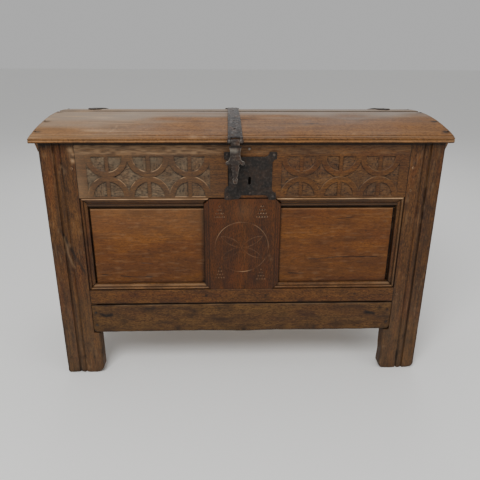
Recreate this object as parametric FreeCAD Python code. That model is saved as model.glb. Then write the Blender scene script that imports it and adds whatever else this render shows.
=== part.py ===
import FreeCAD, Part
import math
import os

# Joined oak coffer chest with a low domed lid, iron strap hinges, centre strap, swinging hasp and
# plate lock. Millimetres. Inside this file y = 0 is the front face of the carcass and y grows towards
# the back; every piece is moved on export so that the origin is the centre of the whole chest's
# footprint on the floor. X runs to the right as seen from the front, Z up.

# ---- carcass -----------------------------------------------------------------------------------
carcass_width = 1220.0
carcass_depth = 580.0
rim_height = 808.0
stile_width = 125.0
stile_thickness = 40.0
rail_thickness = 32.0
rear_rail_thickness = 28.0
side_rail_thickness = 28.0
side_reveal = 2.0
foot_inner_round = 20.0
foot_outer_round = 12.0
stile_arris = 6.0

# ---- front frame -------------------------------------------------------------------------------
top_rail_flat = 172.0
lower_rail_flat = 50.0
lower_rail_underside = 270.0
mould_width = 20.0
rail_lip_height = 10.0
rail_lip_setback = 8.0
muntin_flat_width = 203.0
muntin_offset = -4.5
base_board_height = 108.0
base_board_thickness = 18.0
base_board_gap = 2.0
base_board_corner = 12.0
base_board_play = 0.5

# ---- moulding round the panels: a bead, then a slope down to the panel ---------------------------
bead_radius = 4.0
bead_top_drop = 0.8
bead_quirk = 2.0
slope_start_depth = 7.0
slope_end_depth = 9.0
slope_flat = 2.0

# ---- run mouldings down the stiles ---------------------------------------------------------------
stile_bead_from_edge = 54.0
stile_bead_half = 8.0
stile_bead_drop = 0.3
stile_quirk = 5.0
stile_quirk_depth = 4.0

# ---- panels and grooves --------------------------------------------------------------------------
panel_thickness = 12.0
panel_setback = 14.0
side_panel_thickness = 10.0
rear_panel_thickness = 10.0
rear_panel_setback = 9.0
groove_depth = 10.0
groove_play = 0.25
panel_shrinkage = 1.0

# ---- rear frame ------------------------------------------------------------------------------------
rear_top_rail_height = 168.0
rear_lower_rail_height = 70.0
rear_muntin_width = 120.0

# ---- side frames -------------------------------------------------------------------------------------
side_top_rail_height = 192.0
side_lower_rail_height = 70.0

# ---- joints in the frame -------------------------------------------------------------------------
tenon_length = 46.0
tenon_thickness = 11.0
side_tenon_length = 24.0
muntin_tenon_length = 36.0
tenon_shoulder = 12.0
tenon_play = 0.3
peg_radius = 4.5
peg_inset = 13.0
peg_length = 34.0
side_peg_length = 27.0
side_peg_rise = 11.0
top_peg_drops = (151.0, 80.0)
lower_peg_rise = 26.0

# ---- floor -----------------------------------------------------------------------------------------
ledge_height = 20.0
ledge_width = 25.0
floor_thickness = 16.0
floor_board_count = 4
floor_board_gap = 2.0
floor_play = 1.0

# ---- carving ---------------------------------------------------------------------------------------
carving_depth = 3.0
lunette_columns = 3
left_field_from_stile = 30.0
left_field_from_muntin = -3.0
right_field_from_muntin = 17.0
right_field_from_stile = 29.0
carving_height = 124.0
carving_above_mould = 4.0
lunette_band = 17.0
lunette_rib = 13.0
lunette_merge = 1.5
rosette_radius = 87.5
rosette_ring_width = 4.0
rosette_depth = 1.5
rosette_drop = 8.0
rosette_offset = -4.0
rosette_petal_share = 0.86
rosette_eye_radius = 3.0

# ---- lid -------------------------------------------------------------------------------------------
lid_overhang_front = 30.0
lid_overhang_end = 17.0
lid_gap = 1.0
lid_nose = 14.0
lid_rise = 38.0
lid_crest_thickness = 20.0
lid_seat = 42.0
lid_front_board = 335.0
lid_board_gap = 0.8
lid_nose_round = 3.5
scratch_radius = 1.1
scratch_places = (-10.0, 2.0)
cleat_thickness = 14.0
cleat_side_play = 1.5
cleat_drop = 38.0
cleat_front_setback = 15.0
cleat_front_rake = 38.0
cleat_rear_setback = 14.0
cleat_rear_rake = 26.0
lid_nail_shares = (0.042, 0.21, 0.45, 0.67, 0.92)

# ---- hinges ----------------------------------------------------------------------------------------
hinge_from_end = 92.0
hinge_strap_width = 31.0
hinge_tip_width = 47.0
hinge_tip_length = 42.0
hinge_strap_reach = 245.0
strap_thickness = 4.0
hinge_knuckle_radius = 7.0
hinge_pin_radius = 3.0
hinge_stand_off = 1.0
hinge_middle_knuckle = 13.0
hinge_leaf_height = 105.0
hinge_leaf_width = 34.0
knuckle_gap = 0.5
pin_play = 0.06
pin_head_height = 2.0
pin_head_extra = 1.6
hinge_leaf_nail_shares = (0.22, 0.52, 0.82)
hinge_strap_nail_shares = (0.12, 0.45, 0.88)

# ---- centre strap and hasp -------------------------------------------------------------------------
hasp_offset = -28.0
centre_strap_thickness = 5.0
centre_strap_nose_width = 44.0
centre_strap_rear_width = 35.0
centre_strap_rear_gap = 60.0
centre_strap_tip_width = 52.0
centre_strap_tip_length = 46.0
centre_strap_nail_shares = (0.116, 0.26, 0.535, 0.765, 0.95)
hasp_knuckle_radius = 6.5
hasp_knuckle_width = 26.0
hasp_pin_radius = 2.5
hasp_stand_off = 0.5
hasp_pivot_above_seat = 8.0
hasp_thickness = 4.0
hasp_face_setback = 1.5
hasp_rest_gap = 0.4
hasp_length = 127.0
hasp_shoulder_drop = 14.5
hasp_shoulder_half = 19.5
hasp_waist_half = 15.0
hasp_scroll_half = 22.0
hasp_scroll_drop = 64.0
hasp_scroll_radius = 6.5
hasp_scroll_root = 5.0
hasp_waist_run = 22.0
hasp_waist_hollow = 0.6
hasp_flare_run = 12.0
hasp_tail_half = 8.0
hasp_neck_half = 4.5
hasp_collar_half = 8.0
hasp_collar_drop = 113.0
hasp_collar_half_height = 2.0
hasp_tail_run = 11.0
hasp_neck_run = 4.0
hasp_finial_radius = 7.0
staple_drop = 92.0
staple_height = 17.0
staple_thickness = 6.0
staple_reach = 32.0
staple_nose_flat = 1.5
staple_eye_start = 19.5
staple_eye_length = 10.0
staple_eye_height = 11.0

# ---- lock ------------------------------------------------------------------------------------------
plate_thickness = 2.5
plate_offset = 19.0
plate_rise = 68.0
plate_half_width = 80.0
plate_half_height = 75.0
plate_waist_half_width = 67.0
plate_waist_half_height = 60.0
plate_lobe = 23.0
plate_corner_cut = 3.0
plate_nail_inset = 9.5
plate_low_nail_rise = 6.0
rail_nail_rise = 8.0
rail_nail_offset = -4.0
lock_pocket_half_width = 62.0
lock_pocket_half_height = 48.0
lock_pocket_depth = 24.0
lock_pocket_offset = -10.0
case_play = 0.5
case_wall = 1.5
slot_side_play = 1.25
slot_top_above_bolt = 8.5
slot_bottom_below_bolt = 20.0
keyhole_offset = -2.4
keyhole_width = 7.5
keyhole_height = 24.0
keyhole_drop = 45.0
bolt_height = 8.0
bolt_thickness = 6.0
bolt_length = 60.0
bolt_side_play = 3.0
bolt_guide_play = 0.3
bolt_guide_width = 4.0
bolt_guide_inset = 6.0
bolt_guide_spacing = 42.0
bolt_guide_wall = 4.0
bolt_guide_front_wall = 2.5
bolt_notch_width = 8.0
bolt_notch_depth = 3.0

# ---- nails -----------------------------------------------------------------------------------------
nail_head_radius = 4.5
nail_head_height = 1.6
nail_shank_radius = 1.8
board_nail_length = 30.0
plate_nail_length = 14.0
strap_nail_length = 12.0
board_nail_share = 0.28
board_nail_inset = 13.0
head_seat = 0.4

# ---- places worked out from the sizes above -----------------------------------------------------
half_width = carcass_width / 2
opening_side = half_width - stile_width
shoulder_side = opening_side + mould_width
top_flat_bottom = rim_height - top_rail_flat
opening_top = top_flat_bottom - mould_width
panel_sight_top = opening_top - rail_lip_height
lower_flat_top = lower_rail_underside + lower_rail_flat
opening_bottom = lower_flat_top + mould_width
muntin_left = muntin_offset - muntin_flat_width / 2
muntin_right = muntin_offset + muntin_flat_width / 2
openings = (
    (-opening_side, muntin_left - mould_width),
    (muntin_right + mould_width, opening_side),
)
base_board_top = lower_rail_underside - base_board_gap
base_board_bottom = base_board_top - base_board_height
side_outer = half_width - side_reveal
side_inner = side_outer - side_rail_thickness
side_middle = side_outer - side_rail_thickness / 2
side_opening_bottom = lower_rail_underside + side_lower_rail_height
side_opening_top = rim_height - side_top_rail_height
rear_opening_bottom = lower_rail_underside + rear_lower_rail_height
rear_opening_top = rim_height - rear_top_rail_height
lid_bottom = rim_height + lid_gap
lid_front = -lid_overhang_front
lid_half_length = half_width + lid_overhang_end
lid_nose_top = lid_bottom + lid_nose
crest_y = (lid_front + carcass_depth) / 2
crest_z = lid_nose_top + lid_rise
seat_middle_y = carcass_depth / 2
inner_crest_z = crest_z - lid_crest_thickness
lid_chord = (carcass_depth - lid_front) / 2
lid_radius = (lid_chord ** 2 + lid_rise ** 2) / (2 * lid_rise)
lid_centre_z = crest_z - lid_radius
hasp_pivot_y = lid_front - hasp_stand_off - hasp_knuckle_radius
hasp_pivot_z = lid_bottom + hasp_pivot_above_seat
hinge_axis_y = carcass_depth + hinge_stand_off + hinge_knuckle_radius
hinge_axis_z = lid_bottom
hinge_from_centre = half_width - hinge_from_end
rosette_z = (lower_flat_top + top_flat_bottom) / 2 - rosette_drop
plate_z = top_flat_bottom + plate_rise
hasp_front_y = hasp_pivot_y - hasp_knuckle_radius + hasp_face_setback
hasp_back_y = hasp_front_y + hasp_thickness
front_reach = hasp_knuckle_radius - hasp_pivot_y
rear_reach = hinge_axis_y + hinge_knuckle_radius
front_y = (front_reach - rear_reach) / 2

# The hasp swings in until its end meets the plate; the bolt is where the staple's eye then stands.
back_from_pivot = hasp_back_y - hasp_pivot_y
swing_room = -hasp_pivot_y - plate_thickness - hasp_rest_gap
closing_angle = math.asin(swing_room / math.hypot(hasp_length, back_from_pivot)) - math.atan2(
    back_from_pivot, hasp_length
)
eye_from_pivot = back_from_pivot + staple_eye_start + staple_eye_length / 2
bolt_y = hasp_pivot_y + eye_from_pivot * math.cos(closing_angle) + staple_drop * math.sin(closing_angle)
bolt_z = hasp_pivot_z + eye_from_pivot * math.sin(closing_angle) - staple_drop * math.cos(closing_angle)
keyhole_x = plate_offset + keyhole_offset
keyhole_z = bolt_z - keyhole_drop

AXES = {"x": FreeCAD.Vector(1, 0, 0), "y": FreeCAD.Vector(0, 1, 0), "z": FreeCAD.Vector(0, 0, 1)}
BIG = 3000.0
overcut = 1.0


# ---- drawing helpers ---------------------------------------------------------------------------
def spot(point, axis, level):
    """A 2-D point on the plane across axis: (y, z) for x, (x, z) for y, (x, y) for z."""
    a, b = point
    if axis == "x":
        return FreeCAD.Vector(level, a, b)
    if axis == "y":
        return FreeCAD.Vector(a, level, b)
    return FreeCAD.Vector(a, b, level)


def prism(steps, axis, low, high):
    """A closed outline carried from low to high along axis. A step is a point, or (middle, end) for an arc."""
    edges = []
    start = here = steps[0]
    for step in list(steps[1:]) + [start]:
        if isinstance(step[0], tuple):
            middle, end = step
            edges.append(Part.Arc(spot(here, axis, low), spot(middle, axis, low), spot(end, axis, low)).toShape())
            here = end
        elif math.dist(here, step) > 1e-6:
            edges.append(Part.makeLine(spot(here, axis, low), spot(step, axis, low)))
            here = step
    face = Part.Face(Part.Wire(edges))
    return face.extrude(AXES[axis] * (high - low))


def box(x0, x1, y0, y1, z0, z1):
    return Part.makeBox(x1 - x0, y1 - y0, z1 - z0, FreeCAD.Vector(x0, y0, z0))


def grown(block, play):
    """A box tuple made larger by play on every side."""
    return tuple(v + (play if i % 2 else -play) for i, v in enumerate(block))


def rod(start, axis, radius, length):
    return Part.makeCylinder(radius, length, FreeCAD.Vector(*start), AXES[axis])


def mirrored(block, side):
    """The same box tuple on the side of the chest that side names, -1 left or 1 right."""
    x0, x1 = sorted((block[0] * side, block[1] * side))
    return (x0, x1) + tuple(block[2:])


def joined(shapes):
    result = shapes[0]
    if len(shapes) > 1:
        result = result.fuse(list(shapes[1:]))
    return result.removeSplitter()


def less(shape, cutters):
    if not cutters:
        return shape
    return shape.cut(list(cutters))


def write(node, shape):
    """Save one node at its place about the middle of the footprint."""
    shape = shape.copy()
    shape.translate(FreeCAD.Vector(0, front_y, 0))
    solids = shape.Solids
    if not solids or not all(s.isValid() for s in solids):
        raise ValueError(node + " is not sound")
    result = solids[0] if len(solids) == 1 else Part.makeCompound(solids)
    result.exportStep(os.path.join("parts", node + ".step"))
    print(node, len(solids), round(sum(s.Volume for s in solids) / 1000.0, 1), "cm3")


def nail(place, axis, into, length):
    """A wrought nail: low domed head standing on place, shank going along axis in the direction into."""
    dome = nail_head_height
    sphere_radius = (nail_head_radius ** 2 + dome ** 2) / (2 * dome)
    away = AXES[axis] * -into
    seat = FreeCAD.Vector(*place)
    ball = Part.makeSphere(sphere_radius, seat - away * (sphere_radius - dome))
    cap = Part.makeCylinder(nail_head_radius * 1.5, dome * 2, seat, away)
    shank = Part.makeCylinder(nail_shank_radius, length, seat - away * length, away)
    return joined([ball.common(cap), shank])


# ---- mouldings ---------------------------------------------------------------------------------
def mould_side(length):
    """What is planed away along one edge of an opening: x runs along the edge, z away from the opening."""
    bead_low = bead_top_drop + bead_radius
    outer = mould_width
    bead_outer = outer - bead_quirk
    bead_inner = bead_outer - 2 * bead_radius
    over = overcut
    section = [
        (-over, outer),
        (bead_low, outer),
        (bead_low, bead_outer),
        ((bead_top_drop, bead_outer - bead_radius), (bead_low, bead_inner)),
        (slope_start_depth, bead_inner),
        (slope_end_depth, slope_flat),
        (slope_end_depth, -over),
        (-over, -over),
    ]
    reach = mould_width + over
    run = prism(section, "x", -reach, length + reach)
    wedge = [(-reach, reach), (length + reach, reach), (length - over, -over), (over, -over)]
    return run.common(prism(wedge, "y", -over * 2, slope_end_depth + over))


def mould_ring(x0, x1, z0, z1):
    """The four mitred runs of moulding round one panel opening."""
    origin = FreeCAD.Vector(0, 0, 0)
    sides = (((x0, z1), x1 - x0, 0), ((x1, z1), z1 - z0, 90), ((x1, z0), x1 - x0, 180), ((x0, z0), z1 - z0, 270))
    runs = []
    for (x, z), length, turn in sides:
        run = mould_side(length)
        run.rotate(origin, AXES["y"], turn)
        run.translate(FreeCAD.Vector(x, 0, z))
        runs.append(run)
    return runs


def stile_run_cutter(side):
    """The bead and its two quirks, worked down the whole face of a front stile."""
    middle = half_width - stile_bead_from_edge
    edge = stile_bead_half + stile_quirk
    over = overcut
    section = [
        (side * (middle - edge), -over),
        (side * (middle - edge), stile_quirk_depth),
        (side * (middle - stile_bead_half), stile_quirk_depth),
        ((side * middle, stile_bead_drop), (side * (middle + stile_bead_half), stile_quirk_depth)),
        (side * (middle + edge), stile_quirk_depth),
        (side * (middle + edge), -over),
    ]
    return prism(section, "z", -over, rim_height + over)


# ---- tenons, pegs and panel grooves --------------------------------------------------------------
front_tenon_y = (rail_thickness - tenon_thickness) / 2
rear_tenon_y = carcass_depth - (rear_rail_thickness + tenon_thickness) / 2


def front_tenons():
    """Tenon boxes of the two front rails, for the right-hand ends."""
    y0, y1 = front_tenon_y, front_tenon_y + tenon_thickness
    x0, x1 = shoulder_side, shoulder_side + tenon_length
    top = (x0, x1, y0, y1, top_flat_bottom + tenon_shoulder, rim_height - tenon_shoulder)
    low = (x0, x1, y0, y1, lower_rail_underside + tenon_shoulder / 2, lower_flat_top)
    return top, low


def rear_tenons():
    y0, y1 = rear_tenon_y, rear_tenon_y + tenon_thickness
    x0, x1 = opening_side, opening_side + tenon_length
    top = (x0, x1, y0, y1, rear_opening_top + tenon_shoulder, rim_height - tenon_shoulder)
    low = (x0, x1, y0, y1, lower_rail_underside + tenon_shoulder / 2, rear_opening_bottom - tenon_shoulder)
    return top, low


def side_tenons():
    """Tenon boxes of the two side rails on the right: (front top, front low, rear top, rear low)."""
    x0, x1 = side_middle - tenon_thickness / 2, side_middle + tenon_thickness / 2
    front = (stile_thickness - side_tenon_length, stile_thickness)
    rear = (carcass_depth - stile_thickness, carcass_depth - stile_thickness + side_tenon_length)
    top = (side_opening_top + tenon_shoulder, rim_height - tenon_shoulder)
    low = (lower_rail_underside + tenon_shoulder / 2, side_opening_bottom - tenon_shoulder)
    return [(x0, x1) + ends + height for ends in (front, rear) for height in (top, low)]


def muntin_tenons(left, right, y0, low, high):
    inset = tenon_shoulder
    block = (left + inset, right - inset, y0, y0 + tenon_thickness)
    return block + (high, high + muntin_tenon_length), block + (low - muntin_tenon_length, low)


def peg_list():
    """Every oak peg: (place on the outer face, axis, direction inwards, length)."""
    pegs = []
    heights = [rim_height - drop for drop in top_peg_drops] + [lower_rail_underside + lower_peg_rise]
    for side in (-1, 1):
        for z in heights:
            pegs.append(((side * (shoulder_side + peg_inset), 0, z), "y", 1, peg_length))
            pegs.append(((side * (opening_side + peg_inset), carcass_depth, z), "y", -1, peg_length))
            for y in (stile_thickness - peg_inset, carcass_depth - stile_thickness + peg_inset):
                pegs.append(((side * half_width, y, z + side_peg_rise), "x", -side, side_peg_length))
    return pegs


def peg_solids(extra=0.0):
    solids = []
    for place, axis, into, length in peg_list():
        direction = AXES[axis] * into
        start = FreeCAD.Vector(*place) - direction * extra
        solids.append(Part.makeCylinder(peg_radius, length + extra, start, direction))
    return solids


def front_panel_block(x0, x1):
    return (
        x0 - groove_depth,
        x1 + groove_depth,
        panel_setback,
        panel_setback + panel_thickness,
        opening_bottom - groove_depth,
        panel_sight_top + groove_depth,
    )


def rear_panel_blocks():
    y1 = carcass_depth - rear_panel_setback
    half = rear_muntin_width / 2
    spans = ((-opening_side, -half), (half, opening_side))
    z0, z1 = rear_opening_bottom - groove_depth, rear_opening_top + groove_depth
    return [(x0 - groove_depth, x1 + groove_depth, y1 - rear_panel_thickness, y1, z0, z1) for x0, x1 in spans]


def side_panel_block():
    return (
        side_middle - side_panel_thickness / 2,
        side_middle + side_panel_thickness / 2,
        stile_thickness - groove_depth,
        carcass_depth - stile_thickness + groove_depth,
        side_opening_bottom - groove_depth,
        side_opening_top + groove_depth,
    )


def groove(block, thin):
    """The groove for a panel: a little thicker than it, and deeper by the shrinkage gap."""
    plays = {"x": panel_shrinkage, "y": panel_shrinkage, "z": panel_shrinkage}
    plays[thin] = groove_play
    x0, x1, y0, y1, z0, z1 = block
    return box(
        x0 - plays["x"], x1 + plays["x"], y0 - plays["y"], y1 + plays["y"], z0 - plays["z"], z1 + plays["z"]
    )


# ---- base board ----------------------------------------------------------------------------------
def base_board_solid(play):
    """The nailed board below the lower rail, or with play the seat cut for it in the stiles."""
    end = shoulder_side - base_board_play + play
    z0, z1 = base_board_bottom - play, base_board_top + play
    r = base_board_corner
    k = r * (1 - math.sqrt(0.5))
    steps = [
        (-end, z1),
        (end, z1),
        (end, z0 + r),
        ((end - k, z0 + k), (end - r, z0)),
        (-end + r, z0),
        ((-end + k, z0 + k), (-end, z0 + r)),
    ]
    return prism(steps, "y", -play, base_board_thickness + play)


# ---- frame members -------------------------------------------------------------------------------
def front_cutters():
    cutters = [groove(front_panel_block(x0, x1), "y") for x0, x1 in openings]
    for x0, x1 in openings:
        cutters += mould_ring(x0, x1, opening_bottom, opening_top)
    return cutters


def foot_outline(inner, outer, side, top):
    """The lower part of a stile, seen from the front, from its inner edge round to its outer edge."""
    ri, ro = foot_inner_round, foot_outer_round
    ki, ko = ri * (1 - math.sqrt(0.5)), ro * (1 - math.sqrt(0.5))
    return [
        (side * inner, ri),
        ((side * (inner + ki), ki), (side * (inner + ri), 0)),
        (side * (outer - ro), 0),
        ((side * (outer - ko), ko), (side * outer, ro)),
        (side * outer, top),
    ]


def front_stile(side):
    inner = [
        (side * shoulder_side, rim_height),
        (side * shoulder_side, top_flat_bottom),
        (side * opening_side, opening_top),
        (side * opening_side, opening_bottom),
        (side * shoulder_side, lower_flat_top),
        (side * shoulder_side, lower_rail_underside),
        (side * opening_side, lower_rail_underside),
    ]
    body = prism(inner + foot_outline(opening_side, half_width, side, rim_height), "y", 0, stile_thickness)
    cutters = front_cutters() + peg_solids(overcut) + [base_board_solid(base_board_play), stile_run_cutter(side)]
    cutters += [box(*grown(mirrored(b, side), tenon_play)) for b in list(front_tenons()) + side_tenons()]
    cutters.append(groove(mirrored(side_panel_block(), side), "x"))
    a = stile_arris
    out = half_width + overcut
    corner = [(side * (half_width - a), -overcut), (side * out, -overcut), (side * out, a), (side * half_width, a)]
    cutters.append(prism(corner + [(side * (half_width - a), 0)], "z", -overcut, BIG))
    cutters += nails_base_board()
    return less(body, cutters)


def rear_stile(side):
    outline = [(side * opening_side, rim_height)] + foot_outline(opening_side, half_width, side, rim_height)
    body = prism(outline, "y", carcass_depth - stile_thickness, carcass_depth)
    cutters = peg_solids(overcut)
    cutters += [box(*grown(mirrored(b, side), tenon_play)) for b in list(rear_tenons()) + side_tenons()]
    cutters += [groove(b, "y") for b in rear_panel_blocks()]
    cutters.append(groove(mirrored(side_panel_block(), side), "x"))
    cutters += nails_hinge_leaf()
    return less(body, cutters)


def lunette_recesses(x0, x1, z0, z1):
    """Ground cut away between and inside opposed rows of half-round lunettes in one field."""
    columns = lunette_columns
    pitch = (x1 - x0) / columns
    outer = min(pitch, z1 - z0) / 2 + lunette_merge
    inner = outer - lunette_band
    middles = [x0 + (i + 0.5) * pitch for i in range(columns)]
    field = box(x0, x1, -overcut, carving_depth, z0, z1)
    discs = []
    hollows = []
    for x in middles:
        for z in (z0, z1):
            discs.append(rod((x, -2 * overcut, z), "y", outer, carving_depth + 3 * overcut))
            hollows.append(rod((x, -overcut, z), "y", inner, carving_depth + overcut))
    half = lunette_rib / 2
    ribs = [box(x - half, x + half, -2 * overcut, BIG, z0, z1) for x in middles]
    ground = field.cut(discs)
    quarters = [h.common(field).cut(ribs) for h in hollows]
    return ground.Solids + [s for q in quarters for s in q.Solids]


def rail_carving():
    z0 = top_flat_bottom + carving_above_mould
    z1 = z0 + carving_height
    left = (left_field_from_stile - shoulder_side, muntin_left - left_field_from_muntin)
    right = (muntin_right + right_field_from_muntin, shoulder_side - right_field_from_stile)
    return [cut for x0, x1 in (left, right) for cut in lunette_recesses(x0, x1, z0, z1)]


def lock_pocket():
    x, z = plate_offset + lock_pocket_offset, plate_z
    w, h = lock_pocket_half_width, lock_pocket_half_height
    return (x - w, x + w, -overcut, lock_pocket_depth, z - h, z + h)


def front_muntin_tenons():
    return muntin_tenons(muntin_left, muntin_right, front_tenon_y, lower_flat_top, top_flat_bottom)


def front_top_rail():
    steps = [(-shoulder_side, rim_height), (shoulder_side, rim_height), (shoulder_side, top_flat_bottom)]
    steps += [(opening_side, opening_top), (muntin_right + mould_width, opening_top)]
    steps += [(muntin_right, top_flat_bottom), (muntin_left, top_flat_bottom)]
    steps += [(muntin_left - mould_width, opening_top), (-opening_side, opening_top)]
    steps += [(-shoulder_side, top_flat_bottom)]
    body = prism(steps, "y", 0, rail_thickness)
    lip = (rail_lip_setback, rail_thickness, panel_sight_top, opening_top + overcut)
    lips = [box(x0, x1, *lip) for x0, x1 in openings]
    tenons = [box(*mirrored(front_tenons()[0], side)) for side in (-1, 1)]
    cutters = front_cutters() + peg_solids(overcut) + rail_carving() + [box(*lock_pocket())]
    cutters.append(box(*grown(front_muntin_tenons()[0], tenon_play)))
    cutters += nails_lock_plate()
    return less(joined([body] + lips + tenons), cutters)


def front_lower_rail():
    low = lower_rail_underside
    steps = [(shoulder_side, low), (-shoulder_side, low), (-shoulder_side, lower_flat_top)]
    steps += [(-opening_side, opening_bottom), (muntin_left - mould_width, opening_bottom)]
    steps += [(muntin_left, lower_flat_top), (muntin_right, lower_flat_top)]
    steps += [(muntin_right + mould_width, opening_bottom), (opening_side, opening_bottom)]
    steps += [(shoulder_side, lower_flat_top)]
    body = prism(steps, "y", 0, rail_thickness)
    tenons = [box(*mirrored(front_tenons()[1], side)) for side in (-1, 1)]
    slot = box(*grown(front_muntin_tenons()[1], tenon_play))
    return less(joined([body] + tenons), front_cutters() + peg_solids(overcut) + [slot])


def rosette_cuts():
    """A compass-drawn rosette: one ring groove and six pointed petals round a small eye."""
    x, z = muntin_offset + rosette_offset, rosette_z
    deep = rosette_depth + overcut
    outer = rod((x, -overcut, z), "y", rosette_radius, deep)
    ring = outer.cut(rod((x, -2 * overcut, z), "y", rosette_radius - rosette_ring_width, deep + 2 * overcut))
    reach = (rosette_radius - rosette_ring_width) * rosette_petal_share
    eye = rod((x, -2 * overcut, z), "y", rosette_eye_radius, deep + 2 * overcut)
    petals = []
    for k in range(6):
        turn = math.radians(60 * k + 30)
        pair = []
        for swing in (-60, 60):
            a = turn + math.radians(swing)
            pair.append(rod((x + reach * math.cos(a), -overcut, z + reach * math.sin(a)), "y", reach, deep))
        petals.append(pair[0].common(pair[1]).cut(eye))
    return [ring] + petals


def front_muntin():
    left, right = muntin_left, muntin_right
    steps = [(left, lower_flat_top), (right, lower_flat_top), (right + mould_width, opening_bottom)]
    steps += [(right + mould_width, opening_top), (right, top_flat_bottom), (left, top_flat_bottom)]
    steps += [(left - mould_width, opening_top), (left - mould_width, opening_bottom)]
    body = prism(steps, "y", 0, rail_thickness)
    tenons = [box(*b) for b in front_muntin_tenons()]
    cutters = front_cutters() + [box(*lock_pocket())] + nails_lock_plate() + rosette_cuts()
    return less(joined([body] + tenons), cutters)


def front_panels():
    return [box(*front_panel_block(x0, x1)) for x0, x1 in openings]


def rear_rail(z0, z1, tenon):
    y0, y1 = carcass_depth - rear_rail_thickness, carcass_depth
    body = box(-opening_side, opening_side, y0, y1, z0, z1)
    tenons = [box(*mirrored(tenon, side)) for side in (-1, 1)]
    half = rear_muntin_width / 2
    slots = muntin_tenons(-half, half, rear_tenon_y, rear_opening_bottom, rear_opening_top)
    cutters = peg_solids(overcut) + [groove(b, "y") for b in rear_panel_blocks()] + nails_hinge_leaf()
    cutters += [box(*grown(b, tenon_play)) for b in slots]
    return less(joined([body] + tenons), cutters)


def rear_muntin():
    half = rear_muntin_width / 2
    y0, y1 = carcass_depth - rear_rail_thickness, carcass_depth
    body = box(-half, half, y0, y1, rear_opening_bottom, rear_opening_top)
    tenons = [box(*b) for b in muntin_tenons(-half, half, rear_tenon_y, rear_opening_bottom, rear_opening_top)]
    return less(joined([body] + tenons), [groove(b, "y") for b in rear_panel_blocks()])


def side_rail(side, low):
    """One rail of an end frame; the top one is shaped to the underside of the domed lid."""
    y0, y1 = stile_thickness, carcass_depth - stile_thickness
    x0, x1 = sorted((side * side_inner, side * side_outer))
    boxes = side_tenons()
    if low:
        body = box(x0, x1, y0, y1, lower_rail_underside, side_opening_bottom)
        tenons = boxes[1::2]
    else:
        arch = ((seat_middle_y, inner_crest_z - lid_gap), (carcass_depth - lid_seat, rim_height))
        steps = [(y0, side_opening_top), (y0, rim_height), (lid_seat, rim_height), arch, (y1, rim_height)]
        body = prism(steps + [(y1, side_opening_top)], "x", x0, x1)
        tenons = boxes[0::2]
    whole = joined([body] + [box(*mirrored(b, side)) for b in tenons])
    return less(whole, [groove(mirrored(side_panel_block(), side), "x")] + peg_solids(overcut))


# ---- floor -----------------------------------------------------------------------------------------
ledge_z = lower_rail_underside
floor_z = ledge_z + ledge_height


def floor_ledge(front):
    x = opening_side - floor_play
    y0 = rail_thickness if front else carcass_depth - rear_rail_thickness - ledge_width
    return box(-x, x, y0, y0 + ledge_width, ledge_z, floor_z)


def floor_boards():
    reach = side_inner - floor_play
    width = 2 * reach / floor_board_count
    y0 = rail_thickness + floor_play
    y1 = carcass_depth - rear_rail_thickness - floor_play
    posts = []
    for side in (-1, 1):
        for post_y0, post_y1 in ((0, stile_thickness), (carcass_depth - stile_thickness, carcass_depth)):
            block = mirrored((opening_side, half_width, post_y0, post_y1, 0, rim_height), side)
            posts.append(box(*grown(block, floor_play)))
    boards = []
    for i in range(floor_board_count):
        x0 = -reach + i * width + floor_board_gap / 2
        board = box(x0, x0 + width - floor_board_gap, y0, y1, floor_z, floor_z + floor_thickness)
        boards.append(less(board, posts))
    return boards


# ---- nails of the carcass --------------------------------------------------------------------------
def nails_base_board():
    """Two nails at each end of the base board, through it into the stiles."""
    nails = []
    for side in (-1, 1):
        inset = board_nail_share * base_board_height
        for z in (base_board_bottom + inset, base_board_top - inset):
            place = (side * (shoulder_side - board_nail_inset), 0, z)
            nails.append(nail(place, "y", 1, board_nail_length))
    return nails


def plate_nail_places():
    """One in each corner lobe of the plate and one low in its middle, all outside the lock's pocket."""
    x, z = plate_offset, plate_z
    dx, dz = plate_half_width - plate_nail_inset, plate_half_height - plate_nail_inset
    corners = [(x + sx * dx, z + sz * dz) for sx in (-1, 1) for sz in (-1, 1)]
    return corners + [(x, z - plate_waist_half_height + plate_low_nail_rise)]


def nails_lock_plate():
    face = -plate_thickness
    nails = [nail((x, face, z), "y", 1, plate_nail_length) for x, z in plate_nail_places()]
    above = (plate_offset + rail_nail_offset, 0, plate_z + plate_half_height + rail_nail_rise)
    nails.append(nail(above, "y", 1, plate_nail_length))
    return nails


def hinge_leaf_nail_places():
    z_top = hinge_axis_z - hinge_knuckle_radius - knuckle_gap * 2
    return [z_top - hinge_leaf_height * share for share in hinge_leaf_nail_shares]


def nails_hinge_leaf():
    y = carcass_depth + strap_thickness
    return [
        nail((side * hinge_from_centre, y, z), "y", -1, strap_nail_length + strap_thickness)
        for side in (-1, 1)
        for z in hinge_leaf_nail_places()
    ]


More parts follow.
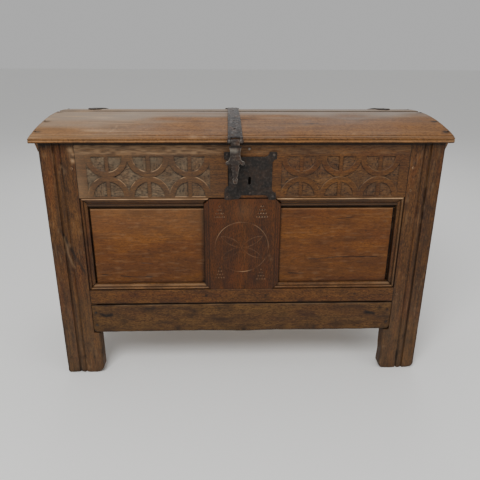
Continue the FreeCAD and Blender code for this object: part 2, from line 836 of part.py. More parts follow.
# ---- lock ------------------------------------------------------------------------------------------
def lock_plate():
    """Iron plate with straight waists and a flared lobe at each corner."""
    x, z = plate_offset, plate_z
    w, h = plate_half_width, plate_half_height
    ww, wh = plate_waist_half_width, plate_waist_half_height
    lobe = plate_lobe
    k = math.sqrt(0.5)
    rx, rz = w - ww, h - wh
    steps = []
    for sx, sz, flip in ((1, 1, False), (1, -1, True), (-1, -1, False), (-1, 1, True)):
        into = [
            (w - lobe - rz, wh),
            ((w - lobe - rz + rz * k, h - rz * k), (w - lobe, h)),
            (w - plate_corner_cut, h),
            (w, h - plate_corner_cut),
            (w, h - lobe),
            ((w - rx * k, h - lobe - rx + rx * k), (ww, h - lobe - rx)),
        ]
        points = []
        for step in into:
            if isinstance(step[0], tuple):
                points.append(tuple((x + sx * a, z + sz * b) for a, b in step))
            else:
                points.append((x + sx * step[0], z + sz * step[1]))
        if flip:
            points = backwards(points)
        steps += points
    plate = prism(steps, "y", -plate_thickness, 0)
    cutters = [box(*staple_slot()), keyhole(-plate_thickness - overcut, overcut)]
    return less(plate, cutters + nails_lock_plate())


def backwards(steps):
    """The same open run of lines and arcs, drawn from its far end."""
    ends = [step[1] if isinstance(step[0], tuple) else step for step in steps]
    result = [ends[-1]]
    for i in range(len(steps) - 1, 0, -1):
        if isinstance(steps[i][0], tuple):
            result.append((steps[i][0], ends[i - 1]))
        else:
            result.append(ends[i - 1])
    return result


def staple_slot():
    x = hasp_offset
    half = staple_thickness / 2 + slot_side_play
    z0, z1 = bolt_z - slot_bottom_below_bolt, bolt_z + slot_top_above_bolt
    return (x - half, x + half, -plate_thickness - overcut, overcut, z0, z1)


def keyhole(y0, y1):
    x, z = keyhole_x, keyhole_z
    w = keyhole_width / 2
    h = keyhole_height / 2 - w
    steps = [(x - w, z - h), (x - w, z + h), ((x, z + h + w), (x + w, z + h)), (x + w, z - h)]
    return prism(steps + [((x, z - h - w), (x - w, z - h))], "y", y0, y1)


def bolt_block():
    """The bolt drawn back clear of the staple."""
    x0 = hasp_offset + staple_thickness / 2 + bolt_side_play
    h, t = bolt_height / 2, bolt_thickness / 2
    return (x0, x0 + bolt_length, bolt_y - t, bolt_y + t, bolt_z - h, bolt_z + h)


def lock_bolt():
    block = bolt_block()
    x0, x1, y0, y1, z0, z1 = block
    half = bolt_notch_width / 2
    notch = (keyhole_x - half, keyhole_x + half, y0 - overcut, y1 + overcut, z0 - overcut, z0 + bolt_notch_depth)
    return box(*block).cut(box(*notch))


def lock_case():
    x0, x1, y0, y1, z0, z1 = grown(lock_pocket(), -case_play)
    outer = box(x0, x1, 0, y1, z0, z1)
    wall = case_wall
    inner = box(x0 + wall, x1 - wall, -overcut, y1 - wall, z0 + wall, z1 - wall)
    bx0, bx1, by0, by1, bz0, bz1 = grown(bolt_block(), bolt_guide_play)
    channel = box(-BIG, BIG, by0, by1, bz0, bz1)
    half = bolt_height / 2 + bolt_guide_wall
    lug = (by0 - bolt_guide_front_wall, y1 - wall / 2, bolt_z - half, bolt_z + half)
    guides = []
    for i in range(2):
        gx = bx0 + bolt_guide_inset + i * bolt_guide_spacing
        guides.append(box(gx, gx + bolt_guide_width, *lug).cut(channel))
    return joined([outer.cut(inner)] + guides)


# ---- lid -------------------------------------------------------------------------------------------
def dome_z(y):
    """Height of the lid's upper face at a distance from the carcass front."""
    return lid_centre_z + math.sqrt(lid_radius ** 2 - (y - crest_y) ** 2)


def under_arch_steps():
    return [(lid_seat, lid_bottom), ((seat_middle_y, inner_crest_z), (carcass_depth - lid_seat, lid_bottom))]


def lid_shell():
    """The whole low dome, before it is parted into boards."""
    r = lid_nose_round
    k = r * (1 - math.sqrt(0.5))
    steps = [
        (lid_front, lid_nose_top - r),
        ((lid_front + k, dome_z(lid_front + k) - k), (lid_front + r, dome_z(lid_front + r))),
        ((crest_y, crest_z), (carcass_depth, lid_nose_top)),
        (carcass_depth, lid_bottom),
        (carcass_depth - lid_seat, lid_bottom),
        ((seat_middle_y, inner_crest_z), (lid_seat, lid_bottom)),
        (lid_front + r, lid_bottom),
        ((lid_front + k, lid_bottom + k), (lid_front, lid_bottom + r)),
    ]
    shell = prism(steps, "x", -lid_half_length, lid_half_length)
    scratches = [
        rod((-BIG, y, dome_z(y) + scratch_radius * 0.3), "x", scratch_radius, 2 * BIG) for y in scratch_places
    ]
    return less(shell, scratches)


def lid_nail_places():
    x = half_width + cleat_side_play + cleat_thickness / 2
    return [(side * x, carcass_depth * share) for side in (-1, 1) for share in lid_nail_shares]


def lid_nail_solids():
    return [nail((x, y, dome_z(y) - head_seat), "z", -1, board_nail_length) for x, y in lid_nail_places()]


def lid_boards():
    shell = lid_shell()
    seam = lid_front + lid_front_board
    half = lid_board_gap / 2
    front = shell.common(box(-BIG, BIG, -BIG, seam - half, 0, BIG))
    rear = shell.common(box(-BIG, BIG, seam + half, BIG, 0, BIG))
    cutters = lid_nail_solids() + strap_nail_solids()
    return less(front, cutters), less(rear, cutters)


def lid_cleat(side):
    """A bearer under each end of the lid, outside the carcass, shaped to the lid above it."""
    x0 = half_width + cleat_side_play
    x0, x1 = sorted((side * x0, side * (x0 + cleat_thickness)))
    low = lid_bottom - cleat_drop
    y0, y1 = cleat_front_setback, carcass_depth - cleat_rear_setback
    steps = [(y0, lid_bottom)] + under_arch_steps() + [(y1, lid_bottom)]
    steps += [(y1 - cleat_rear_rake, low), (y0 + cleat_front_rake, low)]
    return less(prism(steps, "x", x0, x1), lid_nail_solids())


# ---- straps over the lid ---------------------------------------------------------------------------
def strap_plate(y0, y1, thickness):
    """A bar of even thickness bent to the dome, wide enough to trim to any outline."""
    inner, outer = lid_radius, lid_radius + thickness

    def on(radius, y):
        return (y, lid_centre_z + math.sqrt(radius ** 2 - (y - crest_y) ** 2))

    middle = (y0 + y1) / 2
    steps = [on(inner, y0), (on(inner, middle), on(inner, y1)), on(outer, y1), (on(outer, middle), on(outer, y0))]
    return prism(steps, "x", -BIG, BIG)


def strap_outline(x, root_y, root_half, tip_y, tip_half_width, tip_length, end_half):
    """Plan of a strap from its root to a leaf-shaped tip; it narrows from root_half to end_half."""
    way = 1 if tip_y > root_y else -1
    leaf = tip_y - way * tip_length
    swell = leaf + way * tip_length * 0.42
    neck = leaf - way * tip_length * 0.18
    steps = [(x - root_half, root_y), (x - end_half, neck), (x - end_half * 0.72, leaf)]
    steps += [((x - tip_half_width * 0.93, leaf + way * tip_length * 0.16), (x - tip_half_width, swell))]
    steps += [((x - tip_half_width * 0.55, tip_y - way * tip_length * 0.2), (x, tip_y))]
    steps += [((x + tip_half_width * 0.55, tip_y - way * tip_length * 0.2), (x + tip_half_width, swell))]
    steps += [((x + tip_half_width * 0.93, leaf + way * tip_length * 0.16), (x + end_half * 0.72, leaf))]
    steps += [(x + end_half, neck), (x + root_half, root_y)]
    return prism(steps, "z", 0, BIG)


def hinge_strap(side):
    """Lid half of a hinge: strap over the lid, turned down behind it into two outer knuckles."""
    x = side * hinge_from_centre
    half = hinge_strap_width / 2
    t = strap_thickness
    back = carcass_depth
    tip_y = back - hinge_strap_reach
    outline = strap_outline(x, back, half, tip_y, hinge_tip_width / 2, hinge_tip_length, half)
    bar = strap_plate(tip_y, back, t).common(outline)
    gap = hinge_stand_off / 2
    top = lid_nose_top
    turn = [(back, top), (back, top + t), ((back + gap + t * 0.7, top + t * 0.6), (back + gap + t, top - 1.0))]
    turn += [(back + gap + t, hinge_axis_z), (back + gap, hinge_axis_z), (back + gap, top)]
    drop = prism(turn, "x", x - half, x + half)
    barrel = rod((x - half, hinge_axis_y, hinge_axis_z), "x", hinge_knuckle_radius, hinge_strap_width)
    middle = hinge_middle_knuckle / 2 + knuckle_gap
    clear = hinge_knuckle_radius + knuckle_gap * 2
    notch = box(x - middle, x + middle, back, hinge_axis_y + clear, hinge_axis_z - clear, hinge_axis_z + clear)
    bore = rod((x - BIG, hinge_axis_y, hinge_axis_z), "x", hinge_pin_radius + pin_play, 2 * BIG)
    return less(joined([bar, drop, barrel]), [notch, bore] + strap_nail_solids())


def hinge_leaf(side):
    """Carcass half of a hinge: a plate on the back of the rear stile with the middle knuckle."""
    x = side * hinge_from_centre
    half = hinge_leaf_width / 2
    back = carcass_depth
    t = strap_thickness
    top = hinge_axis_z - hinge_knuckle_radius - knuckle_gap * 2
    low = top - hinge_leaf_height
    steps = [(x - half, top), (x - half, low + half), ((x, low), (x + half, low + half)), (x + half, top)]
    plate = prism(steps, "y", back, back + t)
    middle = hinge_middle_knuckle / 2
    barrel = rod((x - middle, hinge_axis_y, hinge_axis_z), "x", hinge_knuckle_radius, 2 * middle)
    root = back + hinge_stand_off
    tab = box(x - middle, x + middle, root, back + t, top - 2.0, hinge_axis_z)
    bore = rod((x - BIG, hinge_axis_y, hinge_axis_z), "x", hinge_pin_radius + pin_play, 2 * BIG)
    return less(joined([plate, barrel, tab]), [bore] + nails_hinge_leaf())


def pin(x, y, z, radius, half):
    """A hinge pin with a riveted head at each end."""
    start = x - half - knuckle_gap - pin_head_height
    shaft = rod((start, y, z), "x", radius, 2 * (half + knuckle_gap + pin_head_height))
    heads = [
        rod((start, y, z), "x", radius + pin_head_extra, pin_head_height),
        rod((x + half + knuckle_gap, y, z), "x", radius + pin_head_extra, pin_head_height),
    ]
    return joined([shaft] + heads)


def centre_strap():
    """Strap over the middle of the lid, ending at the nose in two knuckles for the hasp."""
    x = hasp_offset
    t = centre_strap_thickness
    nose_half = centre_strap_nose_width / 2
    rear_half = centre_strap_rear_width / 2
    tip = carcass_depth - centre_strap_rear_gap
    outline = strap_outline(
        x, lid_front, nose_half, tip, centre_strap_tip_width / 2, centre_strap_tip_length, rear_half
    )
    bar = strap_plate(lid_front, tip, t).common(outline)
    r = hasp_knuckle_radius
    y, z = hasp_pivot_y, hasp_pivot_z
    crown = lid_nose_top + t
    gap = hasp_stand_off / 2
    turn = [(lid_front, lid_nose_top), (lid_front, crown), ((y + r * 0.3, crown - 1.4), (y - r * 0.7, z + r * 0.72))]
    turn += [(y, z), (lid_front - gap, z), (lid_front - gap, lid_nose_top)]
    drop = prism(turn, "x", x - nose_half, x + nose_half)
    barrel = rod((x - nose_half, y, z), "x", r, centre_strap_nose_width)
    middle = hasp_knuckle_width / 2 + knuckle_gap
    clear = r + knuckle_gap * 2
    notch = box(x - middle, x + middle, y - clear, lid_front, z - clear, crown + t)
    bore = rod((x - BIG, y, z), "x", hasp_pin_radius + pin_play, 2 * BIG)
    return less(joined([bar, drop, barrel]), [notch, bore] + strap_nail_solids())


def strap_nail_places():
    """Nails through the three straps: (x, y, thickness of the strap there)."""
    reach = carcass_depth - centre_strap_rear_gap - lid_front
    t = centre_strap_thickness
    places = [(hasp_offset, lid_front + reach * share, t) for share in centre_strap_nail_shares]
    for side in (-1, 1):
        for share in hinge_strap_nail_shares:
            y = carcass_depth - hinge_strap_reach * share
            places.append((side * hinge_from_centre, y, strap_thickness))
    return places


def strap_nail_solids():
    return [
        nail((x, y, dome_z(y) + t - head_seat), "z", -1, strap_nail_length + t) for x, y, t in strap_nail_places()
    ]


# ---- hasp ------------------------------------------------------------------------------------------
def hasp_plate():
    """The swinging hasp: eye, shoulders, scrolled arms, tapering tail, collar and finial."""
    x, top = hasp_offset, hasp_pivot_z
    y0, y1 = hasp_front_y, hasp_back_y
    eye = hasp_knuckle_width / 2

    def at(half, drop, side=1):
        return (x + side * half, top - drop)

    arm = hasp_scroll_drop
    waist = hasp_waist_half
    root = hasp_scroll_root
    middle = (hasp_shoulder_drop + arm - hasp_waist_run) / 2
    right = [
        at(eye, 0),
        at(eye, hasp_shoulder_drop),
        at(hasp_shoulder_half, hasp_shoulder_drop),
        (at(waist + hasp_waist_hollow, middle), at(waist, arm - hasp_waist_run)),
        at(waist + root / 2, arm - hasp_flare_run),
        at(hasp_scroll_half, arm - root),
        at(hasp_scroll_half, arm + root),
        (at(waist, arm + root / 2), at(waist - root / 2, arm + hasp_flare_run)),
        at(hasp_tail_half, hasp_collar_drop - hasp_tail_run),
        at(hasp_neck_half, hasp_collar_drop - hasp_neck_run),
        at(hasp_collar_half, hasp_collar_drop - hasp_collar_half_height),
        at(hasp_collar_half, hasp_collar_drop + hasp_collar_half_height),
        at(hasp_neck_half, hasp_collar_drop + hasp_neck_run),
    ]
    left = [mirror_step(step, x) for step in backwards(right)]
    body = prism(right + left, "y", y0, y1)
    scrolls = [
        rod((x + side * hasp_scroll_half, y0, top - arm), "y", hasp_scroll_radius, hasp_thickness)
        for side in (-1, 1)
    ]
    finial_z = top - hasp_length + hasp_finial_radius
    finial = rod((x, y0, finial_z), "y", hasp_finial_radius, hasp_thickness)
    neck = box(x - hasp_neck_half, x + hasp_neck_half, y0, y1, finial_z, top - hasp_collar_drop)
    barrel = rod((x - eye, hasp_pivot_y, hasp_pivot_z), "x", hasp_knuckle_radius, hasp_knuckle_width)
    bore = rod((x - BIG, hasp_pivot_y, hasp_pivot_z), "x", hasp_pin_radius + pin_play, 2 * BIG)
    return less(joined([body, barrel, finial, neck] + scrolls), [bore])


def mirror_step(step, x):
    if isinstance(step[0], tuple):
        return tuple((2 * x - a, b) for a, b in step)
    return (2 * x - step[0], step[1])


def hasp_staple():
    """The loop on the back of the hasp that enters the lock plate; the bolt shoots through its eye."""
    back = hasp_back_y
    z = hasp_pivot_z - staple_drop
    h = staple_height / 2
    tip = back + staple_reach
    r = h - staple_nose_flat
    k = r * (1 - math.sqrt(0.5))
    steps = [(back, z - h), (back, z + h), (tip - r, z + h), ((tip - k, z + h - k), (tip, z + h - r))]
    steps += [(tip, z - h + r), ((tip - k, z - h + k), (tip - r, z - h))]
    half = staple_thickness / 2
    loop = prism(steps, "x", hasp_offset - half, hasp_offset + half)
    eye_y = back + staple_eye_start
    eye_half = staple_eye_height / 2
    eye = box(-BIG, BIG, eye_y, eye_y + staple_eye_length, z - eye_half, z + eye_half)
    return loop.cut(eye)


# ---- build -----------------------------------------------------------------------------------------
def build():
    os.makedirs("parts", exist_ok=True)
    for side, name in ((-1, "left"), (1, "right")):
        write("front_" + name + "_stile", front_stile(side))
        write("rear_" + name + "_stile", rear_stile(side))
        write(name + "_side_top_rail", side_rail(side, False))
        write(name + "_side_lower_rail", side_rail(side, True))
        write(name + "_side_panel", box(*mirrored(side_panel_block(), side)))
        write(name + "_lid_cleat", lid_cleat(side))
        write(name + "_hinge_strap", hinge_strap(side))
        write(name + "_hinge_leaf", hinge_leaf(side))
    write("front_top_rail", front_top_rail())
    write("front_lower_rail", front_lower_rail())
    write("front_muntin", front_muntin())
    for name, panel in zip(("front_left_panel", "front_right_panel"), front_panels()):
        write(name, panel)
    write("front_base_board", less(base_board_solid(0.0), nails_base_board()))
    write("base_board_nails", Part.makeCompound(nails_base_board()))
    top, low = rear_tenons()
    write("rear_top_rail", rear_rail(rear_opening_top, rim_height, top))
    write("rear_lower_rail", rear_rail(lower_rail_underside, rear_opening_bottom, low))
    write("rear_muntin", rear_muntin())
    for name, block in zip(("rear_left_panel", "rear_right_panel"), rear_panel_blocks()):
        write(name, box(*block))
    write("front_floor_ledge", floor_ledge(True))
    write("rear_floor_ledge", floor_ledge(False))
    for i, board in enumerate(floor_boards()):
        write("floor_board_" + str(i + 1), board)
    write("joint_pegs", Part.makeCompound(peg_solids()))
    write("lock_plate", lock_plate())
    write("lock_plate_nails", Part.makeCompound(nails_lock_plate()))
    write("lock_case", lock_case())
    write("lock_bolt", lock_bolt())
    write("hinge_leaf_nails", Part.makeCompound(nails_hinge_leaf()))
    pin_half = hinge_strap_width / 2
    pins = [
        pin(side * hinge_from_centre, hinge_axis_y, hinge_axis_z, hinge_pin_radius, pin_half) for side in (-1, 1)
    ]
    write("hinge_pins", Part.makeCompound(pins))
    front, rear = lid_boards()
    write("lid_front_board", front)
    write("lid_rear_board", rear)
    write("lid_nails", Part.makeCompound(lid_nail_solids()))
    write("centre_strap", centre_strap())
    write("strap_nails", Part.makeCompound(strap_nail_solids()))
    write("hasp_pin", pin(hasp_offset, hasp_pivot_y, hasp_pivot_z, hasp_pin_radius, centre_strap_nose_width / 2))
    write("hasp", hasp_plate())
    write("hasp_staple", hasp_staple())


build()
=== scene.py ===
import math

import bmesh
import bpy
import numpy as np
from bpy.props import FloatProperty, FloatVectorProperty, PointerProperty
from mathutils import Matrix, Vector


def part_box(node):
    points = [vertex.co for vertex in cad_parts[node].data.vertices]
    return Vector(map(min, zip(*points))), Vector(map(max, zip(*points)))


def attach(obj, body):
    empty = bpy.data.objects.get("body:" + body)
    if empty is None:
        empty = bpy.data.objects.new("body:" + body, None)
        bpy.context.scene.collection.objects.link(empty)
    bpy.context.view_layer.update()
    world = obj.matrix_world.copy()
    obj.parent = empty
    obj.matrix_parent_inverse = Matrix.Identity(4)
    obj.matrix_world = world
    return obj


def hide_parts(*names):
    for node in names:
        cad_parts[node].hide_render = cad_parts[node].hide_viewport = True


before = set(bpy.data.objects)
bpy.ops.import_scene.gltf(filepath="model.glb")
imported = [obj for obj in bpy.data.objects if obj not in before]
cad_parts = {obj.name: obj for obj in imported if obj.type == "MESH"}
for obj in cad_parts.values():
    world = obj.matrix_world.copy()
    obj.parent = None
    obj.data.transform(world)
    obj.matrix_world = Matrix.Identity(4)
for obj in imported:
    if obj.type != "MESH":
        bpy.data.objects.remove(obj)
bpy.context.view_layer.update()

bl_info = {
    "name": "Joined oak coffer",
    "version": (1, 0, 0),
    "blender": (4, 5, 0),
    "location": "View3D > Sidebar > Coffer",
    "description": "Builds the worked boards, forged irons and finishes of an old oak coffer",
    "category": "Object",
}

MM = 0.001
# Farther than any two points of the chest are apart.
FAR = 1e9


# ---- sizes read from the frame, in millimetres ------------------------------------------------
def span(node):
    """Lowest and highest corner of a node, in millimetres."""
    low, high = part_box(node)
    return low / MM, high / MM


STILE_LOW, STILE_HIGH = span("front_right_stile")
FRONT = STILE_LOW.y
HALF_WIDTH = STILE_HIGH.x
RIM = STILE_HIGH.z
OPENING = STILE_LOW.x
REAR = span("rear_right_stile")[1].y
STILE_THICK = STILE_HIGH.y - STILE_LOW.y
# The moulding round the panels is worked on the frame's own edges; the top rail adds a thin lip below it.
MOULD = 20.0
LIP_HEIGHT = 10.0
LIP_SETBACK = 8.0
SHOULDER = OPENING + MOULD
RAIL_THICK = span("front_lower_rail")[1].y - FRONT
LOWER_BOTTOM = span("front_lower_rail")[0].z
OPEN_BOTTOM = span("front_lower_rail")[1].z
LOWER_TOP = OPEN_BOTTOM - MOULD
LIP_BOTTOM = span("front_top_rail")[0].z
OPEN_TOP = LIP_BOTTOM + LIP_HEIGHT
TOP_BOTTOM = OPEN_TOP + MOULD
MUNTIN_LEFT = span("front_muntin")[0].x + MOULD
MUNTIN_RIGHT = span("front_muntin")[1].x - MOULD
OPENINGS = ((-OPENING, MUNTIN_LEFT - MOULD), (MUNTIN_RIGHT + MOULD, OPENING))


# ---- what a user would change -------------------------------------------------------------------
def linear(code):
    """An sRGB hex colour as linear red, green and blue."""
    values = [int(code[i:i + 2], 16) / 255 for i in (1, 3, 5)]
    return [v / 12.92 if v <= 0.04045 else ((v + 0.055) / 1.055) ** 2.4 for v in values]


class CofferColours(bpy.types.PropertyGroup):
    frame_dark: FloatVectorProperty(
        name="Frame, dark", description="Darkest streaks of the waxed front frame",
        subtype="COLOR", size=3, default=linear("#27140a"),
    )
    frame_mid: FloatVectorProperty(
        name="Frame, middle", description="Usual tone of the waxed front frame",
        subtype="COLOR", size=3, default=linear("#4d2e10"),
    )
    frame_light: FloatVectorProperty(
        name="Frame, light", description="Rubbed places of the waxed front frame",
        subtype="COLOR", size=3, default=linear("#66421c"),
    )
    panel_mid: FloatVectorProperty(
        name="Panel, middle", description="Usual tone of the panels",
        subtype="COLOR", size=3, default=linear("#5a330f"),
    )
    panel_light: FloatVectorProperty(
        name="Panel, light", description="Rubbed places of the panels",
        subtype="COLOR", size=3, default=linear("#6e4216"),
    )
    lid_mid: FloatVectorProperty(
        name="Lid, middle", description="Usual tone of the lid",
        subtype="COLOR", size=3, default=linear("#6f4a24"),
    )
    lid_light: FloatVectorProperty(
        name="Lid, light", description="Worn places of the lid",
        subtype="COLOR", size=3, default=linear("#875b2e"),
    )
    inner_mid: FloatVectorProperty(
        name="Inside, middle", description="Dry oak that was never waxed",
        subtype="COLOR", size=3, default=linear("#8d7350"),
    )
    carved_ground: FloatVectorProperty(
        name="Carved ground", description="Dull greyish floor of the carving",
        subtype="COLOR", size=3, default=linear("#5d5241"),
    )
    russet: FloatVectorProperty(
        name="Russet", description="Red patches of old varnish",
        subtype="COLOR", size=3, default=linear("#5f2f0c"),
    )
    # Also the colour of painted highlights on edges and beads that face the light.
    rubbed_and_lit: FloatVectorProperty(
        name="Rubbed edges", description="Pale wood where edges are rubbed bare",
        subtype="COLOR", size=3, default=linear("#b3916c"),
    )
    # Also the colour of the painted sheen on the back of the lid's top.
    dusty_sheen: FloatVectorProperty(
        name="Dusty top", description="Grey bloom on the top of the lid",
        subtype="COLOR", size=3, default=linear("#8c8377"),
    )
    # Also the colour of painted shade: black in open gaps and in the lock's pocket, and under the lid's nose.
    grime_and_shade: FloatVectorProperty(
        name="Grime", description="Old wax and dirt in quirks and joints",
        subtype="COLOR", size=3, default=linear("#120b07"),
    )
    iron_dark: FloatVectorProperty(
        name="Iron, dark", description="Blackened forged iron",
        subtype="COLOR", size=3, default=linear("#26211f"),
    )
    # Also the colour of the painted glints on the straps.
    iron_worn_and_lit: FloatVectorProperty(
        name="Iron, worn", description="Iron rubbed grey on its high places",
        subtype="COLOR", size=3, default=linear("#57524d"),
    )
    iron_rust: FloatVectorProperty(
        name="Iron, rust", description="Brown rust bloom on the iron",
        subtype="COLOR", size=3, default=linear("#4b3526"),
    )
    floor: FloatVectorProperty(
        name="Floor", description="Plain pale floor",
        subtype="COLOR", size=3, default=linear("#f4f4f2"),
    )


class CofferSizes(bpy.types.PropertyGroup):
    carving_depth: FloatProperty(
        name="Carving depth", description="How deep the ground of the carving is cut",
        default=0.003, min=0.0005, max=0.006, unit="LENGTH",
    )
    hand_wave: FloatProperty(
        name="Plane waves", description="How far a hand-planed face rises and falls",
        default=0.0005, min=0.0, max=0.003, unit="LENGTH",
    )
    joint_gap: FloatProperty(
        name="Joint gap", description="How far the joint above the muntin has opened",
        default=0.003, min=0.0, max=0.004, unit="LENGTH",
    )
    iron_detail: FloatProperty(
        name="Forging detail", description="Finest detail of the forged irons",
        default=0.0011, min=0.0006, max=0.003, unit="LENGTH",
    )


def colours():
    """The colours as the user has set them."""
    return bpy.context.scene.coffer_colours


def sizes():
    """The sizes as the user has set them, in metres."""
    return bpy.context.scene.coffer_sizes


# ---- numbers that make a surface uneven -----------------------------------------------------------
# A knot's swirl is this many times longer along the grain than across it.
KNOT_STRETCH = 2.2


def ripple(u, v, seed):
    """Smooth noise from -1 to 1 that changes over about one unit of u and of v. It mixes the values of
    the four whole places round a point, which large odd numbers scatter."""
    u, v = np.broadcast_arrays(np.asarray(u, float), np.asarray(v, float))
    iu, iv = np.floor(u).astype(np.int64), np.floor(v).astype(np.int64)
    fu, fv = u - iu, v - iv
    fu, fv = fu * fu * (3 - 2 * fu), fv * fv * (3 - 2 * fv)

    def corner(a, b):
        h = (a * 374761393 + b * 668265263 + seed * 974634777) & 0x7FFFFFFF
        h = ((h ^ (h >> 13)) * 1274126177) & 0x7FFFFFFF
        return (h ^ (h >> 16)) / 0x3FFFFFFF - 1.0

    below = corner(iu, iv) * (1 - fu) + corner(iu + 1, iv) * fu
    above = corner(iu, iv + 1) * (1 - fu) + corner(iu + 1, iv + 1) * fu
    return below * (1 - fv) + above * fv


def planed(u, v, seed, along="u"):
    """Depth left by a hand plane, in millimetres: long waves along the grain, short ones across it."""
    if along == "v":
        u, v = v, u
    wave = ripple(u / 160, v / 38, seed) + 0.5 * ripple(u / 60, v / 17, seed + 1)
    return sizes().hand_wave / MM * (0.5 + wave / 3)


def rolled(distance, radius):
    """Depth of a worn arris at a distance from the edge."""
    reach = np.clip(radius - distance, 0, radius)
    return radius - np.sqrt(np.maximum(radius ** 2 - reach ** 2, 0))


def near(distance, width):
    """1 on a line and fading to nothing about a width away."""
    return np.exp(-(distance / width) ** 2)


def stroke(u, v, path, width):
    """1 along the middle of a crack or scratch and 0 at its sides."""
    nearest = np.full(np.shape(u), FAR)
    for (u0, v0), (u1, v1) in zip(path, path[1:]):
        du, dv = u1 - u0, v1 - v0
        t = np.clip(((u - u0) * du + (v - v0) * dv) / (du * du + dv * dv), 0, 1)
        nearest = np.minimum(nearest, np.hypot(u - u0 - t * du, v - v0 - t * dv))
    return np.clip(1 - nearest / (width / 2), 0, 1)


def patchy(u, v, size, seed):
    """Soft patches from 0 to 1 that are about a size across."""
    return np.clip(0.5 + 1.1 * ripple(u / size, v / size, seed), 0, 1)


def spots(u, v, places):
    """Soft round marks. Each place is u, v, radius and strength."""
    return sum(strength * near(np.hypot(u - x, v - z), radius) for x, z, radius, strength in places)


def lines(*marks):
    """Grid lines from mark to mark. Each mark but the last is a place and the step to the next."""
    found = []
    for (start, step), after in zip(marks, marks[1:]):
        end = after[0] if isinstance(after, tuple) else after
        count = max(1, math.ceil((end - start) / step))
        found += [start + (end - start) * i / count for i in range(count)]
    found.append(marks[-1])
    return found


def in_order(stops):
    """Grid lines in order, without any that lie closer than a twentieth of a millimetre."""
    kept = []
    for stop in sorted(stops):
        if not kept or stop - kept[-1] > 0.05:
            kept.append(stop)
    return kept


def swirled(run, across, knots):
    """Bend the grain round knots, each with its place along and across the grain and its size. Returns
    the place across the grain, and the distance from each knot with its size."""
    rings = []
    for knot_run, knot_across, size in knots:
        away = np.hypot((run - knot_run) / KNOT_STRETCH, across - knot_across)
        across = knot_across + (across - knot_across) * (1 - 0.85 * near(away, size))
        rings.append((away, size))
    return across, rings


def grain_at(run, across, deep, tone):
    """Places in the wood, in metres. tone moves a board through the noise, so that no two look alike."""
    return np.stack([run * MM + tone * 7.1, across * MM + tone * 3.3, deep * MM + tone], 1)


# ---- making pieces ---------------------------------------------------------------------------------
# A board's worked face and sides take its first finish, and its back the second.
FACE, BACK = 0, 1
# Edges that turn by less than this many degrees are shaded smooth.
CRISP_ANGLE = 38.0


def cells(u, v, inside):
    """Faces of a grid that lie inside a shape. A cell that a mitre crosses gives a triangle."""
    rows, columns = u.shape
    cu, cv = (u[:-1, :-1] + u[1:, 1:]) / 2, (v[:-1, :-1] + v[1:, 1:]) / 2
    du, dv = (u[1:, 1:] - u[:-1, :-1]) / 3, (v[1:, 1:] - v[:-1, :-1]) / 3
    tests = inside(cu, cv - dv), inside(cu + du, cv), inside(cu, cv + dv), inside(cu - du, cv)
    low, right, top, left = [np.broadcast_to(t, cu.shape) for t in tests]
    # All four sides inside give a square, and two that meet give the triangle between them.
    code = low * 1 + right * 2 + top * 4 + left * 8
    number = np.arange(rows * columns).reshape(rows, columns)
    faces = []
    for i, j in zip(*np.nonzero(code)):
        around = number[i, j], number[i + 1, j], number[i + 1, j + 1], number[i, j + 1]
        a, b, c, d = [int(k) for k in around]
        shape = {15: (a, b, c, d), 3: (a, b, c), 9: (a, b, d), 6: (b, c, d), 12: (a, c, d)}
        if int(code[i, j]) in shape:
            faces.append(shape[int(code[i, j])])
    return faces


def new_object(name, data):
    """An object in the scene with its mesh, lamp or camera."""
    obj = bpy.data.objects.new(name, data)
    bpy.context.scene.collection.objects.link(obj)
    return obj


def give_values(mesh, values):
    """Store named values at each point of a mesh: a place has three numbers, a strength has one."""
    for key, value in values.items():
        value = np.asarray(value, np.float32)
        kind, field = ("FLOAT_VECTOR", "vector") if value.ndim == 2 else ("FLOAT", "value")
        mesh.attributes.new(key, kind, "POINT").data.foreach_set(field, value.ravel())


def piece_from(name, points, faces, values, finishes):
    """An object from points in millimetres, with named values at each point."""
    mesh = bpy.data.meshes.new(name)
    mesh.from_pydata((np.asarray(points) * MM).tolist(), [], faces)
    give_values(mesh, values)
    for finish in finishes:
        mesh.materials.append(bpy.data.materials[finish])
    return new_object(name, mesh)


def close_and_turn(obj, open_edges, index):
    """Fill the open side of a board, turn every face outwards and keep only sharp edges crisp."""
    bm = bmesh.new()
    bm.from_mesh(obj.data)
    bm.verts.ensure_lookup_table()
    for loop in open_edges:
        edges = [bm.edges.get((bm.verts[a], bm.verts[b])) for a, b in loop]
        filled = bmesh.ops.triangle_fill(bm, use_beauty=True, use_dissolve=False, edges=edges)
        for part in filled["geom"]:
            if isinstance(part, bmesh.types.BMFace):
                part.material_index = index
    bmesh.ops.recalc_face_normals(bm, faces=bm.faces)
    bm.to_mesh(obj.data)
    bm.free()
    obj.data.polygons.foreach_set("use_smooth", [True] * len(obj.data.polygons))
    obj.data.set_sharp_from_angle(angle=math.radians(CRISP_ANGLE))


def stand_for(obj, body, node):
    """Let a finished piece ride on a body in place of its node."""
    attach(obj, body)
    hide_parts(node)


def everywhere(u, v):
    """Inside of a board that fills its whole grid."""
    return np.ones(np.shape(u), bool)


